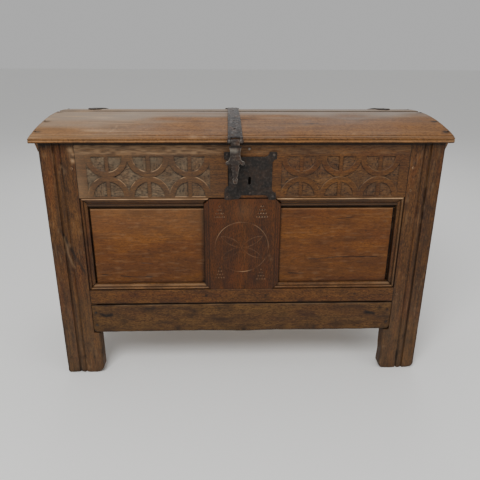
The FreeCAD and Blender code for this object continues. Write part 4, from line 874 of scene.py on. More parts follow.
def build_front_stile(side):
    """A front stile that runs down as a foot. side is -1 on the left and 1 on the right."""
    seed = 60 + side

    def depth(u, v):
        flat = stile_run(u) * (1 - 0.35 * np.clip(ripple(u / 40, v / 90, seed), 0, 1))
        flat = flat + bruised(u, v, seed) + planed(u, v, seed, "v")
        flat = flat + 1.2 * stroke(u, v, STILE_SPLIT, 12) * (side < 0)
        flat = flat + rolled(HALF_WIDTH - u, 6.0) + rolled(RIM - v, 2.0) + rolled(v, 4.0)
        flat = flat + rolled(np.abs(u - SHOULDER), 0.9) * (v > LOWER_BOTTOM)
        flat = flat + rolled(u - OPENING, 3.0) * (v < LOWER_BOTTOM)
        mould = moulding(u - OPENING) + MITRE_DEEP * outside_opening(u, v)[1]
        worked = np.where((u < SHOULDER - 1e-6) & (v > LOWER_TOP - 0.01), mould, flat)
        return np.where(in_seat(u, v), SEAT_DEEP, worked)

    def marks(u, v):
        quirk = near(np.abs(u - RUN_MIDDLE) - STILE_BEAD - STILE_QUIRK / 2, 3.0)
        mitre = outside_opening(u, v)[1]
        p = u - OPENING
        inner = (0.18 + 0.4 * quirk_darkening(p)) * (v > LOWER_TOP) * (p < MOULD)
        joint = 0.6 * near(u - SHOULDER, 1.3) * (v > LOWER_BOTTOM)
        foot = 0.25 * np.exp(-v / 12) + 0.3 * np.clip(bruised(u, v, seed), 0, 1)
        # Painted shade where the outer arris rounds away from the light, and darker along the foot's inner
        # edge.
        edge = 0.55 * near(HALF_WIDTH - u, 5) + 0.4 * near(u - OPENING, 5) * (v < LOWER_BOTTOM)
        streaks = 0.42 * np.clip(ripple(u / 7, v / 150, seed + 7) - 0.1, 0, 1)
        grime_and_shade = 0.4 * quirk + inner + mitre + joint + in_seat(u, v) + foot + edge + streaks
        # Dark holes, and the painted shadow of the lid's nose.
        grime_and_shade = grime_and_shade + spots(u, v, STILE_HOLES[side]) + 0.8 * painted_nose_shadow(v)
        grime_and_shade = grime_and_shade + 0.7 * stroke(u, v, STILE_SPLIT, 13) * (side < 0)
        scuffed = 0.3 * np.clip(ripple(u / 4, v / 24, seed + 9) - 0.45, 0, 1) * patchy(u, v, 90, seed)
        shine = 0.12 * near(p - 14, 2.5) * (side > 0) * (v > LOWER_TOP) * (v < TOP_BOTTOM)
        wear_and_highlight = spots(u, v, STILE_SCARS[side]) + scuffed + shine
        wear_and_highlight = wear_and_highlight + 0.22 * stroke(u, v, STILE_SWIRL, 12) * (side < 0)
        dulled = 0.25 * np.clip((400 - v) / 250, 0, 1)
        return grime_and_shade, dulled, wear_and_highlight

    def inside(u, v):
        p = u - OPENING
        strip = (p < MOULD) & (v > OPEN_BOTTOM - p) & (v < OPEN_TOP + p)
        return (u > SHOULDER) | strip | ((u < SHOULDER) & (v < LOWER_BOTTOM))

    edge = STILE_BEAD + STILE_QUIRK
    us = [OPENING + p for p in PROFILE] + [SHOULDER + 0.55, SHOULDER + 0.65, SHOULDER + 1]
    us += lines((SHOULDER + 2, 4), RUN_MIDDLE - edge - 0.15)
    us += lines((RUN_MIDDLE - edge, 1.5), RUN_MIDDLE + edge)
    us += lines((RUN_MIDDLE + edge + 0.15, 4), HALF_WIDTH - 6)
    us += [HALF_WIDTH - d for d in (4.5, 3, 1.8, 1, 0.4, 0)]
    vs = [OPEN_TOP + p for p in PROFILE] + [OPEN_BOTTOM - p for p in PROFILE]
    vs += [0, 0.3, 1, 2, 3, 4.5, LOWER_BOTTOM]
    vs += [SEAT_LOW - 0.1, SEAT_LOW + 0.1, SEAT_HIGH - 0.1, SEAT_HIGH + 0.1]
    vs += lines((7, 4), SEAT_LOW - 2) + lines((SEAT_LOW + 4, 5), SEAT_HIGH - 3)
    vs += lines((LOWER_BOTTOM + 4, 5), LOWER_TOP - 2)
    vs += lines((OPEN_BOTTOM + 5, 5), OPEN_TOP - 4) + lines((TOP_BOTTOM + 4, 5), RIM - 3)
    vs += [RIM - d for d in (1.5, 0.7, 0.25, 0)]
    node = "front_left_stile" if side < 0 else "front_right_stile"
    stile = relief(
        node + "_worked", us, vs, depth, lambda u, v, w: (side * u, FRONT + w, v), STILE_THICK,
        ("oak_waxed_stile", "oak_waxed_stile"), along="v", inside=inside, marks=marks,
        warp=foot_warp(side), tone=0.7 + 0.11 * side, knots=STILE_KNOTS[side],
    )
    stand_for(stile, "carcass", node)


def build_rear_stile(side):
    """A rear stile, planed plain and bruised at its foot."""
    seed = 160 + side

    def depth(u, v):
        edges = rolled(HALF_WIDTH - u, 4.0) + rolled(u - OPENING, 2.0) + rolled(RIM - v, 2.0) + rolled(v, 4.0)
        return bruised(u, v, seed) + planed(u, v, seed, "v") * 1.6 + edges

    def marks(u, v):
        foot = 0.5 * np.exp(-v / 18) + 0.3 * np.clip(bruised(u, v, seed), 0, 1)
        wear_and_highlight = 0.12 * near(HALF_WIDTH - u, 4) * patchy(u, v, 60, seed)
        return foot + 0.5 * near(u - OPENING, 2.5), 0.0, wear_and_highlight

    us = [OPENING + d for d in (0, 0.4, 1.2, 2)] + lines((OPENING + 6, 5), HALF_WIDTH - 5)
    us += [HALF_WIDTH - d for d in (3, 1.8, 0.8, 0.3, 0)]
    vs = [0, 0.3, 1, 2, 3, 4.5] + lines((8, 7), RIM - 4) + [RIM - d for d in (1.5, 0.7, 0.25, 0)]
    node = "rear_left_stile" if side < 0 else "rear_right_stile"
    stile = relief(
        node + "_worked", us, vs, depth, lambda u, v, w: (side * u, REAR - w, v), STILE_THICK,
        ("oak_waxed_stile", "oak_waxed_stile"), along="v", marks=marks, warp=foot_warp(-side),
        tone=0.9 + 0.13 * side,
    )
    stand_for(stile, "carcass", node)


# ---- panels and boards -----------------------------------------------------------------------------
# For each way that a face looks: the axes across it, up it and through it, and which way depth runs.
LOOKS = {
    "front": (0, 2, 1, 1), "rear": (0, 2, 1, -1), "left": (1, 2, 0, 1), "right": (1, 2, 0, -1),
    "up": (0, 1, 2, -1),
}


def plank(node, look, finishes, along="u", seed=1, trim=(0, 0, 0, 0), worn=1.5, frame_shade=0.0,
          bend=None, body="carcass", wave=1.6):
    """A plainly planed board in place of a node, with its worked face looking front, rear, left,
    right or up. trim takes hidden tenons off its low u, high u, low v and high v sides. frame_shade is
    how wide a strip the frame hides round a panel. bend gives the height at which the flat board would
    end, and the warp that lifts its upper edge from there."""
    low, high = span(node)
    across, up, through, sign = LOOKS[look]
    start = low[through] if sign > 0 else high[through]
    u0, u1 = low[across] + trim[0], high[across] - trim[1]
    v0, v1 = low[up] + trim[2], high[up] - trim[3]
    v1, warp = bend or (v1, None)

    def place(u, v, w):
        found = {across: u, up: v, through: start + sign * w}
        return found[0], found[1], found[2]

    def from_edge(u, v):
        return np.minimum.reduce([u - u0, u1 - u, v - v0, v1 - v])

    def depth(u, v):
        cut = planed(u, v, seed, along) * wave + rolled(from_edge(u, v), worn)
        return cut + np.clip(ripple(u / 24, v / (2 if along == "u" else 30), seed + 5) - 0.6, 0, 1) * 1.2

    def marks(u, v):
        edge = from_edge(u, v)
        if frame_shade:
            # Painted shade along the line where the frame covers the panel.
            return 0.7 * near(edge - frame_shade, 6), 0.0, 0.0
        return 0.28 * near(edge, 2.5), 0.0, 0.4 * near(edge - worn, 2) * patchy(u, v, 70, seed + 3)

    fine = [0, 0.25 * worn, 0.6 * worn, worn]
    us = [u0 + d for d in fine] + lines((u0 + worn + 2, 7.0), u1 - worn - 2) + [u1 - d for d in fine]
    vs = [v0 + d for d in fine] + lines((v0 + worn + 2, 4.0), v1 - worn - 2) + [v1 - d for d in fine]
    board = relief(
        node + "_worked", us, vs, depth, place, high[through] - low[through], finishes, along=along,
        marks=marks, warp=warp, tone=seed * 0.137,
    )
    stand_for(board, body, node)


# Finishes of a board's face and back.
WAXED_PANEL = ("oak_waxed_panel", "oak_dry_inside")
WAXED_FRAME = ("oak_waxed_frame", "oak_dry_inside")
DRY = ("oak_dry_inside", "oak_dry_inside")
# How far the front panels have shrunk away from the frame at their tops and outer sides.
PANEL_GAP = 11.0
SIDE_GAP = {"left": 5.0, "right": 9.0}
PANEL_SCRATCHES = {
    "left": (
        ((-462, 372), (-440, 369), (-428, 370)), ((-400, 366), (-350, 361), (-300, 362)),
        ((-330, 412), (-296, 409)),
    ),
    "right": (
        ((214, 421), (262, 424), (306, 428), (380, 429), (440, 428)), ((300, 560), (352, 566)),
        ((150, 372), (190, 369)),
    ),
}


def build_front_panel(side):
    """A panel that has shrunk and dropped, leaving a gap at its top and outer side that is painted black as
    shade.
    """
    node = f"front_{side}_panel"
    low, high = span(node)
    outer, inner = (-OPENING, MUNTIN_LEFT - MOULD) if side == "left" else (OPENING, MUNTIN_RIGHT + MOULD)
    side_gap = SIDE_GAP[side]
    top = LIP_LOW - PANEL_GAP
    scratches = PANEL_SCRATCHES[side]
    seed = 3 if side == "left" else 4

    def in_gap(u, v):
        return (v > top) | (np.abs(u - outer) < side_gap)

    def depth(u, v):
        flat = planed(u, v, seed) * 1.6 + rolled(top - v, 1.5) + rolled(np.abs(u - outer) - side_gap, 1.5)
        flat = flat + np.clip(ripple(u / 30, v / 2.2, seed + 5) - 0.6, 0, 1) * 0.9
        flat = flat + sum(1.2 * stroke(u, v, path, 2.6) for path in scratches)
        return np.where(in_gap(u, v), high.y - low.y - 1, flat)

    def marks(u, v):
        cut = sum(stroke(u, v, path, 5.2) for path in scratches) * (0.5 + 0.5 * patchy(u, v, 24, seed + 8))
        beside = near(u - inner, 9 if side == "left" else 2.5)
        low_part = 0.22 * np.clip((470 - v) / 130, 0, 1) + 0.35 * near(v - OPEN_BOTTOM, 7)
        specks = 0.9 * np.clip(ripple(u / 6, v / 2.6, seed + 21) - 0.5, 0, 1)
        # The gaps are painted black as shade; the panel is also darker beside the muntin and towards its
        # foot.
        grime_and_shade = in_gap(u, v) + cut + 0.65 * beside + low_part + specks
        # A painted highlight along the panel's top edge below the gap, and pale streaks.
        pale = 0.3 * near(top - v - 1.5, 1.2) + 0.17 * np.clip(ripple(u / 24, v / 4, seed + 23) - 0.3, 0, 1)
        # The left panel is paler towards its top.
        upper_paler = 0.07 * np.clip((v - 470) / 90, 0, 1) * (side == "left")
        return grime_and_shade, 0.0, pale + upper_paler

    us = lines((low.x, 5), high.x)
    us += [outer + s * (side_gap + d) for s in (-1, 1) for d in (-0.1, 0.1, 0.8, 1.5)]
    vs = lines((low.z, 3), top - 3) + [top - d for d in (2, 1.5, 0.9, 0.4, 0.1, -0.1)] + [LIP_LOW + 2, high.z]
    for path in scratches:
        middle = sum(z for x, z in path) / len(path)
        vs = [v for v in vs if abs(v - middle) > 5] + lines((middle - 5, 0.8), middle + 5)
    panel = relief(
        node + "_worked", us, vs, depth, lambda u, v, w: (u, low.y + w, v), high.y - low.y, WAXED_PANEL,
        marks=marks, tone=0.35 if side == "left" else 0.49,
    )
    stand_for(panel, "carcass", node)


def build_front_panels():
    """Both front panels."""
    build_front_panel("left")
    build_front_panel("right")


# Black stains on the base board: place, height, radius and strength.
BOARD_STAINS = (
    (466, 246, 8, 1.5), (466, 210, 5, 1.5), (244, 172, 8, 1.2), (3, 168, 7, 1.2), (-222, 172, 10, 1.2),
    (-165, 238, 8, 0.8), (-172, 216, 6, 0.8),
)
BOARD_GOUGES = (((-474, 231), (-461, 223), (-441, 228)), ((418, 229), (447, 222)))
# A knot hole near its upper edge, and how far its nails stand from the middle and from each edge.
BOARD_HOLE = (168, 262)
BOARD_NAILS, BOARD_NAIL_MARGIN = 492, 30
BOARD_CORNER = 12.0


def build_base_board():
    """The rough board nailed between the front feet."""
    low, high = span("front_base_board")

    def from_hole(u, v):
        return np.hypot(u - BOARD_HOLE[0], v - BOARD_HOLE[1])

    def depth(u, v):
        flat = planed(u, v, 91) * 1.5 + rolled(high.z - v, 1.6) + rolled(v - low.z, 3.0)
        flat = flat + rolled(high.x - np.abs(u), 1.5)
        for path in BOARD_GOUGES:
            flat = flat + 2.5 * stroke(u, v, path, 9)
        return flat + np.clip(ripple(u / 14, v / 9, 93) - 0.55, 0, 1) * 1.6 + 1.4 * near(from_hole(u, v), 3.5)

    def marks(u, v):
        stains = np.clip(ripple(u / 20, v / 12, 93) - 0.4, 0, 1) + near(from_hole(u, v), 4)
        heights = low.z + BOARD_NAIL_MARGIN, high.z - BOARD_NAIL_MARGIN
        rust = sum(near(np.hypot(np.abs(u) - BOARD_NAILS, v - z), 7) for z in heights)
        rust = rust + spots(u, v, BOARD_STAINS)
        scars = 1.4 * sum(stroke(u, v, path, 15) for path in BOARD_GOUGES)
        bottom = 0.5 * near(v - low.z, 6) + 0.5 * np.clip(ripple(u / 45, v / 14, 97) - 0.2, 0, 1)
        arris = 0.5 * near(high.z - v - 2, 1.2) * patchy(u, v, 50, 98)
        # The top edge darkens as painted shade in the gap under the lower rail.
        return scars + 0.7 * stains + 0.6 * rust + near(high.z - v, 1.6) + bottom, 0.0, 0.5 * arris

    def warp(u, v):
        """Waving lower edge, rounded lower corners and an open joint along the top."""
        share = np.clip((high.z - v) / (high.z - low.z), 0, 1)
        wave = 1.3 * (1 + ripple(u / 130, 0, 95)) + 0.5 * (1 + ripple(u / 24, 0, 96))
        opened = 1.3 + 1.7 * np.clip((np.abs(u + 20) - 60) / 400, 0, 1)
        round_off = rolled(high.x - np.abs(u), BOARD_CORNER)
        return u, v + share ** 2 * (wave + round_off) - (1 - share) ** 4 * opened

    us = [s * (high.x - d) for s in (-1, 1) for d in (0, 0.3, 0.8, 1.5, 3, 5, 8, 12)]
    us += lines((low.x + 16, 5), high.x - 16)
    vs = [low.z + d for d in (0, 0.3, 0.9, 1.8, 3)] + lines((low.z + 6, 3.5), high.z - 3)
    vs += [high.z - d for d in (1.6, 1, 0.4, 0)]
    board = relief(
        "base_board_worked", us, vs, depth, front_place, high.y - low.y,
        ("oak_waxed_board", "oak_dry_inside"), marks=marks, warp=warp, tone=0.93,
    )
    stand_for(board, "carcass", "front_base_board")


def build_sides():
    """The rails and the panel of each end."""
    tenon = FRONT + STILE_THICK - span("right_side_lower_rail")[0].y
    trim = (tenon, tenon, 0, 0)
    low, high = span("right_side_top_rail")

    def arch(u, v):
        """Lift the rail's upper part into the curve of the lid."""
        share = np.clip((v - low.z) / (RIM - low.z), 0, 1) ** 1.5
        return u, v + bow(u, HOLLOW_START, HOLLOW_END, high.z - RIM) * share

    for n, side in ((1, "left"), (2, "right")):
        end = side + "_side_"
        plank(end + "top_rail", side, WAXED_FRAME, seed=10 + n, trim=trim, bend=(RIM, arch))
        plank(end + "lower_rail", side, WAXED_FRAME, seed=20 + n, trim=trim)
        plank(end + "panel", side, WAXED_PANEL, seed=30 + n, frame_shade=10)


def build_rear():
    """The rails, the muntin and the panels of the back."""
    tenon = span("rear_lower_rail")[1].x - OPENING
    deep = span("rear_muntin")[1].z - span("rear_top_rail")[0].z
    plank("rear_top_rail", "rear", WAXED_FRAME, seed=41, trim=(tenon, tenon, 0, 0))
    plank("rear_lower_rail", "rear", WAXED_FRAME, seed=42, trim=(tenon, tenon, 0, 0))
    plank("rear_muntin", "rear", WAXED_FRAME, along="v", seed=43, trim=(0, 0, deep, deep))
    plank("rear_left_panel", "rear", WAXED_PANEL, seed=44, frame_shade=10)
    plank("rear_right_panel", "rear", WAXED_PANEL, seed=45, frame_shade=10)


def build_floor():
    """Four dry floor boards on two ledges."""
    for n in range(1, 5):
        plank(f"floor_board_{n}", "up", DRY, along="v", seed=50 + n, worn=1.2)
    plank("front_floor_ledge", "rear", DRY, seed=56)
    plank("rear_floor_ledge", "front", DRY, seed=57)


# ---- lid --------------------------------------------------------------------------------------------
LID_LOW, LID_HIGH = span("lid_front_board")
LID_FRONT = LID_LOW.y
LID_BACK = span("lid_rear_board")[1].y
# Heights of the nose's top and of the crest above the lid's lower face, and the hollow of its underside.
NOSE_TOP = 14.0
CREST = 52.0
HOLLOW_START = FRONT + 42.0
HOLLOW_END = FRONT + 538.0
HOLLOW_RISE = 32.0
NOSE_ROUND = 2.0
# How far the lid's left and right corners are rounded.
CORNER_ROUND = (2.0, 16.0)
# The bead along the nose: share of the nose's height, and how far it lies behind the foremost line.
NOSE_BEAD = (
    (0.03, 2.4), (0.1, 1.1), (0.2, 0.4), (0.32, 0.0), (0.45, 0.0), (0.57, 0.3), (0.67, 1.0), (0.74, 2.2),
    (0.78, 3.2), (0.84, 3.2), (0.88, 1.7), (0.94, 1.3),
)
# Two quirks planed along the top of the nose: place, half width and depth.
NOSE_QUIRKS = ((FRONT - 23.0, 3.2, 1.6), (FRONT - 9.0, 2.8, 1.2))
# How far the front board has sunk along the seam.
SEAM_DIP = 4.2
# Swirls round the knots of the lid: place, line from front to back, and size.
LID_SWIRLS = ((-390.0, FRONT + 52.0, 26.0), (215.0, FRONT + 95.0, 20.0))
# A crack near the seam, beside the centre strap.
LID_CRACK = ((-6.0, FRONT + 143.0), (16.0, FRONT + 148.0), (44.0, FRONT + 145.0))
# Places along each end where iron has stained the oak round its nails.
NAIL_STAINS = [FRONT + place for place in (20.0, 118.0, 255.0, 388.0, 533.0)]
# A scratch and pale scars on the front board.
LID_SCRATCH = ((-386.0, FRONT + 75.0), (-391.0, FRONT + 38.0), (-402.0, FRONT + 12.0))
LID_SCARS = ((-150, FRONT - 14, 13, 0.35), (-118, FRONT - 16, 7, 0.35), (330, FRONT + 6, 9, 0.2))


def bow(y, start, end, rise):
    """Height of a shallow arc from start to end at y, and nothing outside it."""
    half = (end - start) / 2
    radius = (rise ** 2 + half ** 2) / (2 * rise)
    away = np.clip(np.abs(y - (start + end) / 2), 0, half)
    return np.sqrt(radius ** 2 - away ** 2) - (radius - rise)


def lid_section(low, high, front):
    """Points round a lid board: place from front to back, which face it is on, share of the thickness
    and how far it is set back."""
    under = [(y, "under", 0, 0) for y in reversed(lines((low.y + 2, 14), high.y - 2))]
    plain = ((0.06, 0), (0.3, 0), (0.55, 0), (0.8, 0), (0.94, 0))
    near_side = [(low.y, "side", share, back) for share, back in (NOSE_BEAD if front else plain)]
    far_side = [(high.y, "side", share, 0) for share, back in reversed(plain)]
    rounded = (0.2, 0.7, 1.4, 2.2, 3.2)
    top = lines((low.y + 4.5, 3.2), high.y - 4.5)
    top += [low.y + d for d in rounded] + [high.y - d for d in rounded]
    if front:
        for place, half, deep in NOSE_QUIRKS:
            top = [y for y in top if abs(y - place) > half + 0.4]
            top += [place + half * d for d in (-1, -0.8, -0.4, 0, 0.4, 0.8, 1)]
    return under + near_side + [(y, "top", 0, 0) for y in in_order(top)] + far_side


def build_lid_board(node, seed, tone):
    """A lid board, lofted from its section: domed on top, hollow below, moulded along its nose."""
    low, high = span(node)
    front = node == "lid_front_board"
    section = lid_section(low, high, front)
    half = LID_HIGH.x
    ends = [half - d for d in (0, 0.25, 0.7, 1.4, 2.4, 4, 6.5, 10, 15)]
    xs = np.array(sorted([-x for x in ends] + ends + lines((-half + 20, 5), half - 20)))
    y, share, behind = [np.array([point[k] for point in section]) for k in (0, 2, 3)]
    kind = np.array([point[1] for point in section])
    x, y = np.meshgrid(xs, y, indexing="ij")
    from_end = half - np.abs(x)
    seam = high.y if front else low.y
    crown = LID_LOW.z + NOSE_TOP + bow(y, LID_FRONT, LID_BACK, CREST - NOSE_TOP)
    crown = crown - 1.6 * planed(x, y, seed) - 0.6 * np.clip(ripple(x / 60, y / 6, seed + 4) - 0.5, 0, 1)
    crown = crown - rolled(from_end, 2.0) - rolled(np.abs(y - seam), 2.0)
    crack, quirk = np.zeros(x.shape), np.zeros(x.shape)
    if front:
        crown = crown - rolled(y - low.y, NOSE_ROUND) - SEAM_DIP * np.clip(1 - (seam - y) / 26, 0, 1) ** 1.5
        for place, width, deep in NOSE_QUIRKS:
            run = np.clip(1 - ((y - place) / width) ** 2, 0, 1) * (0.65 + 0.35 * ripple(x / 90, 0, 7))
            crown = crown - deep * run
            quirk = np.maximum(quirk, run)
        crack = stroke(x, y, LID_CRACK, 8)
        crown = crown - 1.5 * crack
    else:
        crown = crown - rolled(high.y - y, NOSE_ROUND)
    under = LID_LOW.z + bow(y, HOLLOW_START, HOLLOW_END, HOLLOW_RISE) + rolled(from_end, 2.0)
    z = np.where(kind == "top", crown, np.where(kind == "under", under, under + (crown - under) * share))
    corner = np.where(x < 0, CORNER_ROUND[0], CORNER_ROUND[1])
    reach = np.clip(corner - from_end, 0, corner)
    pull = corner - np.sqrt(np.maximum(corner ** 2 - reach ** 2, 0))
    wander = 0.5 * (1 + ripple(x / 70, 0, 8)) + 0.3 * (1 + ripple(x / 14, 0, 9))
    if front:
        y_moved = y + behind + (pull + wander) * np.clip(1 - (y - low.y) / 60, 0, 1) ** 2
        opened = 2.2 * near(x - 85, 70) + 0.4 * (1 + ripple(x / 60, 0, 10))
        y_moved = y_moved - opened * np.clip(1 - (high.y - y) / 12, 0, 1)
    else:
        y_moved = y - (0.4 * pull + wander) * np.clip(1 - (high.y - y) / 60, 0, 1) ** 2
    x_moved = x - np.sign(x) * 0.4 * (1 + ripple(y / 9, 0, seed + 11)) * np.clip(1 - from_end / 12, 0, 1)
    count, around = x.shape
    faces, indexes = [], []
    for i in range(count - 1):
        for j in range(around):
            k = (j + 1) % around
            faces.append((i * around + j, (i + 1) * around + j, (i + 1) * around + k, i * around + k))
            indexes.append(BACK if section[j][1] == "under" and section[k][1] == "under" else FACE)
    top = kind == "top"
    left = np.clip((-150 - x) / 300, 0, 1)
    # Grey dust and a painted sheen over the back of the lid's top, reaching further forward at the left.
    dust_and_sheen = np.clip((y - FRONT - 145 + 105 * left + 50 * ripple(x / 120, y / 40, 15)) / 110, 0, 1) * top
    grime_and_shade = 0.9 * near(np.abs(y - seam), 2.0) + 0.9 * crack + 0.3 * near(from_end, 4) + 0.9 * quirk * top
    grime_and_shade = grime_and_shade + 0.9 * (kind == "side") * (np.abs(y - seam) < 1)
    grime_and_shade = grime_and_shade + 0.55 * np.clip(ripple(x / 190, y / 13, seed + 21) - 0.2, 0, 1) * (1 - dust_and_sheen)
    wear_and_highlight = (0.12 + 0.55 * left) * np.clip(ripple(x / 90, y / 9, seed + 22) - 0.15, 0, 1)
    # A painted highlight on the arrises on both sides of the seam, and paler towards the left end.
    wear_and_highlight = wear_and_highlight + 0.3 * near(np.abs(y - seam) - 8, 5) + 0.2 * left * top
    grime_and_shade = grime_and_shade + 1.2 * top * sum(near(np.hypot(from_end - 17, y - place), 9) for place in NAIL_STAINS)
    if front:
        nose = kind == "side"
        # The nose's lower part is painted dark as shade under the bead, with a dark line in the groove above
        # the bead.
        grime_and_shade = grime_and_shade + nose * (0.9 * near(share - 0.81, 0.05) + np.clip((0.3 - share) / 0.12, 0, 1))
        # Painted highlights on the bead of the nose and on the top just behind it.
        bright = 0.4 + 0.6 * patchy(x, y, 70, 31)
        wear_and_highlight = wear_and_highlight + nose * 0.45 * near(share - 0.6, 0.1) * bright
        wear_and_highlight = wear_and_highlight + 0.2 * top * near(y - low.y - 13, 4) * bright
        wear_and_highlight = wear_and_highlight + top * (spots(x, y, LID_SCARS) + 0.3 * stroke(x, y, LID_SCRATCH, 8))
    across, rings = swirled(x, y, LID_SWIRLS)
    for away, size in rings:
        grime_and_shade = grime_and_shade + 0.5 * near(away, size * 0.4) * top
    values = {"grain": grain_at(x.ravel(), across.ravel(), z.ravel(), tone), "ground": np.zeros(x.size)}
    for key, value in (("grime_and_shade", grime_and_shade), ("wear_and_highlight", wear_and_highlight), ("dust_and_sheen", dust_and_sheen)):
        values[key] = np.clip(value, 0, 1).ravel()
    points = np.stack([x_moved.ravel(), y_moved.ravel(), z.ravel()], 1)
    obj = piece_from(node + "_worked", points, faces, values, ("oak_worn_lid", "oak_dry_inside"))
    obj.data.polygons.foreach_set("material_index", indexes)
    last = (count - 1) * around
    loops = [[(o + j, o + (j + 1) % around) for j in range(around)] for o in (0, last)]
    close_and_turn(obj, loops, FACE)
    stand_for(obj, "lid", node)


# How far the foot of a cleat's front end is cut back.
CLEAT_RAKE = 27.0


def build_cleats():
    """The cleat under each end of the lid."""
    low, high = span("right_lid_cleat")

    def warp(u, v):
        """Raked front end, and an upper edge that follows the lid."""
        share = np.clip((v - low.z) / (LID_LOW.z - low.z), 0, 1)
        front = np.clip(1 - (u - low.y) / 60, 0, 1)
        back = np.clip(1 - (high.y - u) / 60, 0, 1)
        rake = (1 - share) * CLEAT_RAKE
        lift = share * bow(u, HOLLOW_START, HOLLOW_END, HOLLOW_RISE)
        return u + rake * front - 0.35 * rake * back, v + lift

    for side, seed in (("left", 74), ("right", 75)):
        plank(
            side + "_lid_cleat", side, ("oak_worn_lid", "oak_worn_lid"), seed=seed,
            bend=(LID_LOW.z, warp), body="lid", worn=2.5, wave=1.0,
        )


# ---- irons, nails and pegs --------------------------------------------------------------------------
def add_slab(bm, outline, near_y, far_y):
    """Add a slab with an outline in x and z, in millimetres, anticlockwise as seen from the front."""
    front = [bm.verts.new((x * MM, near_y * MM, z * MM)) for x, z in outline]
    back = [bm.verts.new((x * MM, far_y * MM, z * MM)) for x, z in outline]
    bm.faces.new(front)
    bm.faces.new(back[::-1])
    for i in range(len(front)):
        k = (i + 1) % len(front)
        bm.faces.new((front[k], front[i], back[i], back[k]))


def forged(node, body, finish, detail, dent, made="forged", soften=3, grow=3.0, seed=1, rubbed_and_lit=(),
           shaded=(), lobe=None):
    """A hand-worked copy of a node: softened edges, small dents, and rubbed high places. detail is the
    size of its facets in metres, dent is how deep the dents are and grow how wide. Its bright places
    are rubbed metal and painted highlights, and its black ones are dirt and painted shade; each is x, z,
    radius and strength in millimetres. lobe is an outline that the smith left standing beside the
    plain shape."""
    name = f"{node}_{made}"
    bm = bmesh.new()
    bm.from_mesh(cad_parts[node].data)
    if lobe:
        low, high = span(node)
        add_slab(bm, lobe, low.y, high.y)
    mesh = bpy.data.meshes.new(name + "_rough")
    bm.to_mesh(mesh)
    bm.free()
    rough = new_object(name + "_rough", mesh)
    remesh = rough.modifiers.new("remesh", "REMESH")
    remesh.mode = "VOXEL"
    remesh.voxel_size = detail
    smooth = rough.modifiers.new("smooth", "SMOOTH")
    smooth.factor = 0.5
    smooth.iterations = soften
    evaluated = rough.evaluated_get(bpy.context.evaluated_depsgraph_get())
    worked = bpy.data.meshes.new_from_object(evaluated)
    bpy.data.objects.remove(rough)
    count = len(worked.vertices)
    co, normal = np.empty(count * 3), np.empty(count * 3)
    worked.vertices.foreach_get("co", co)
    worked.vertices.foreach_get("normal", normal)
    co, normal = co.reshape(-1, 3) / MM, normal.reshape(-1, 3)
    # How far each point lies below the middle of its neighbours, spread a little: high places rub bright.
    ends = np.empty(len(worked.edges) * 2, np.int64)
    worked.edges.foreach_get("vertices", ends)
    a, b = ends.reshape(-1, 2).T
    total, members = np.zeros((count, 3)), np.zeros(count)
    for one, other in ((a, b), (b, a)):
        np.add.at(total, one, co[other])
        np.add.at(members, one, 1)
    hollow = np.einsum("ij,ij->i", total / np.maximum(members, 1)[:, None] - co, normal)
    for turn in range(4):
        spread = np.zeros(count)
        for one, other in ((a, b), (b, a)):
            np.add.at(spread, one, hollow[other])
        hollow = 0.4 * hollow + 0.6 * spread / np.maximum(members, 1)
    x, y, z = co.T
    wear_and_highlight = 0.55 * np.clip(-hollow / (0.07 * detail / MM), 0, 1) * patchy(x + y, z, 14, seed + 5)
    # Bright places, rubbed metal and painted highlights, join the wear; dark places, dirt and painted shade,
    # are kept apart.
    wear_and_highlight = np.clip(wear_and_highlight + spots(x, z, rubbed_and_lit), 0, 1)
    dirt_and_shade = np.clip(spots(x, z, shaded) + np.zeros(count), 0, 1)
    beaten = ripple((x + y) / grow, (z - y) / grow, seed)
    beaten = beaten + 0.5 * ripple((x - y) / grow * 2, (z + y) / grow * 2, seed + 1)
    co = co - normal * (dent * np.clip(0.5 + beaten / 2, 0, 1))[:, None]
    worked.vertices.foreach_set("co", (co * MM).ravel())
    give_values(worked, {"grain": np.stack([x * MM, z * MM, y * MM], 1), "wear_and_highlight": wear_and_highlight, "grime_and_shade": dirt_and_shade})
    worked.materials.clear()
    worked.materials.append(bpy.data.materials[finish])
    worked.polygons.foreach_set("use_smooth", [True] * len(worked.polygons))
    worked.name = name
    stand_for(new_object(name, worked), body, node)


# Size of the facets of small irons and of the pegs, in metres.
PIN_DETAIL = 0.0005
NAIL_DETAIL = 0.0006
HASP_DETAIL = 0.0007
PLATE_DETAIL = 0.0008


def nails(node, body, seed):
    """Hammered nail heads."""
    forged(node, body, "iron_nail_head", NAIL_DETAIL, 0.35, seed=seed)


def build_lid_irons():
    """The straps and the nails of the lid, and the pin that carries the hasp."""
    detail = sizes().iron_detail
    forged(
        "centre_strap", "lid", "iron_forged_strap", detail, 0.3, seed=3, grow=9,
        # Painted glints on the knuckles at the strap's front end.
        rubbed_and_lit=((-46, 818, 5, 0.9), (-14, 820, 6, 0.9), (-20, 813, 4, 0.6)),
    )
    for side, seed in (("left", 9), ("right", 10)):
        node = side + "_hinge_strap"
        forged(node, "lid", "iron_forged_strap", detail, 0.3, seed=seed, grow=9)
    nails("strap_nails", "lid", 9)
    nails("lid_nails", "lid", 10)
    forged("hasp_pin", "lid", "iron_forged_hasp", PIN_DETAIL, 0.1, seed=11)


# Painted shadow in the gaps under the knuckles, and darker patches in the scrolls and low on the hasp: x, z,
# radius and strength.
HASP_DARKENING = (
    *((x, 802, 4, 1.0) for x in (-46, -40, -34, -28, -22, -16, -10)),
    (-43, 740, 4, 0.6), (-26, 722, 8, 0.35), (-31, 745, 7, 0.3),
)


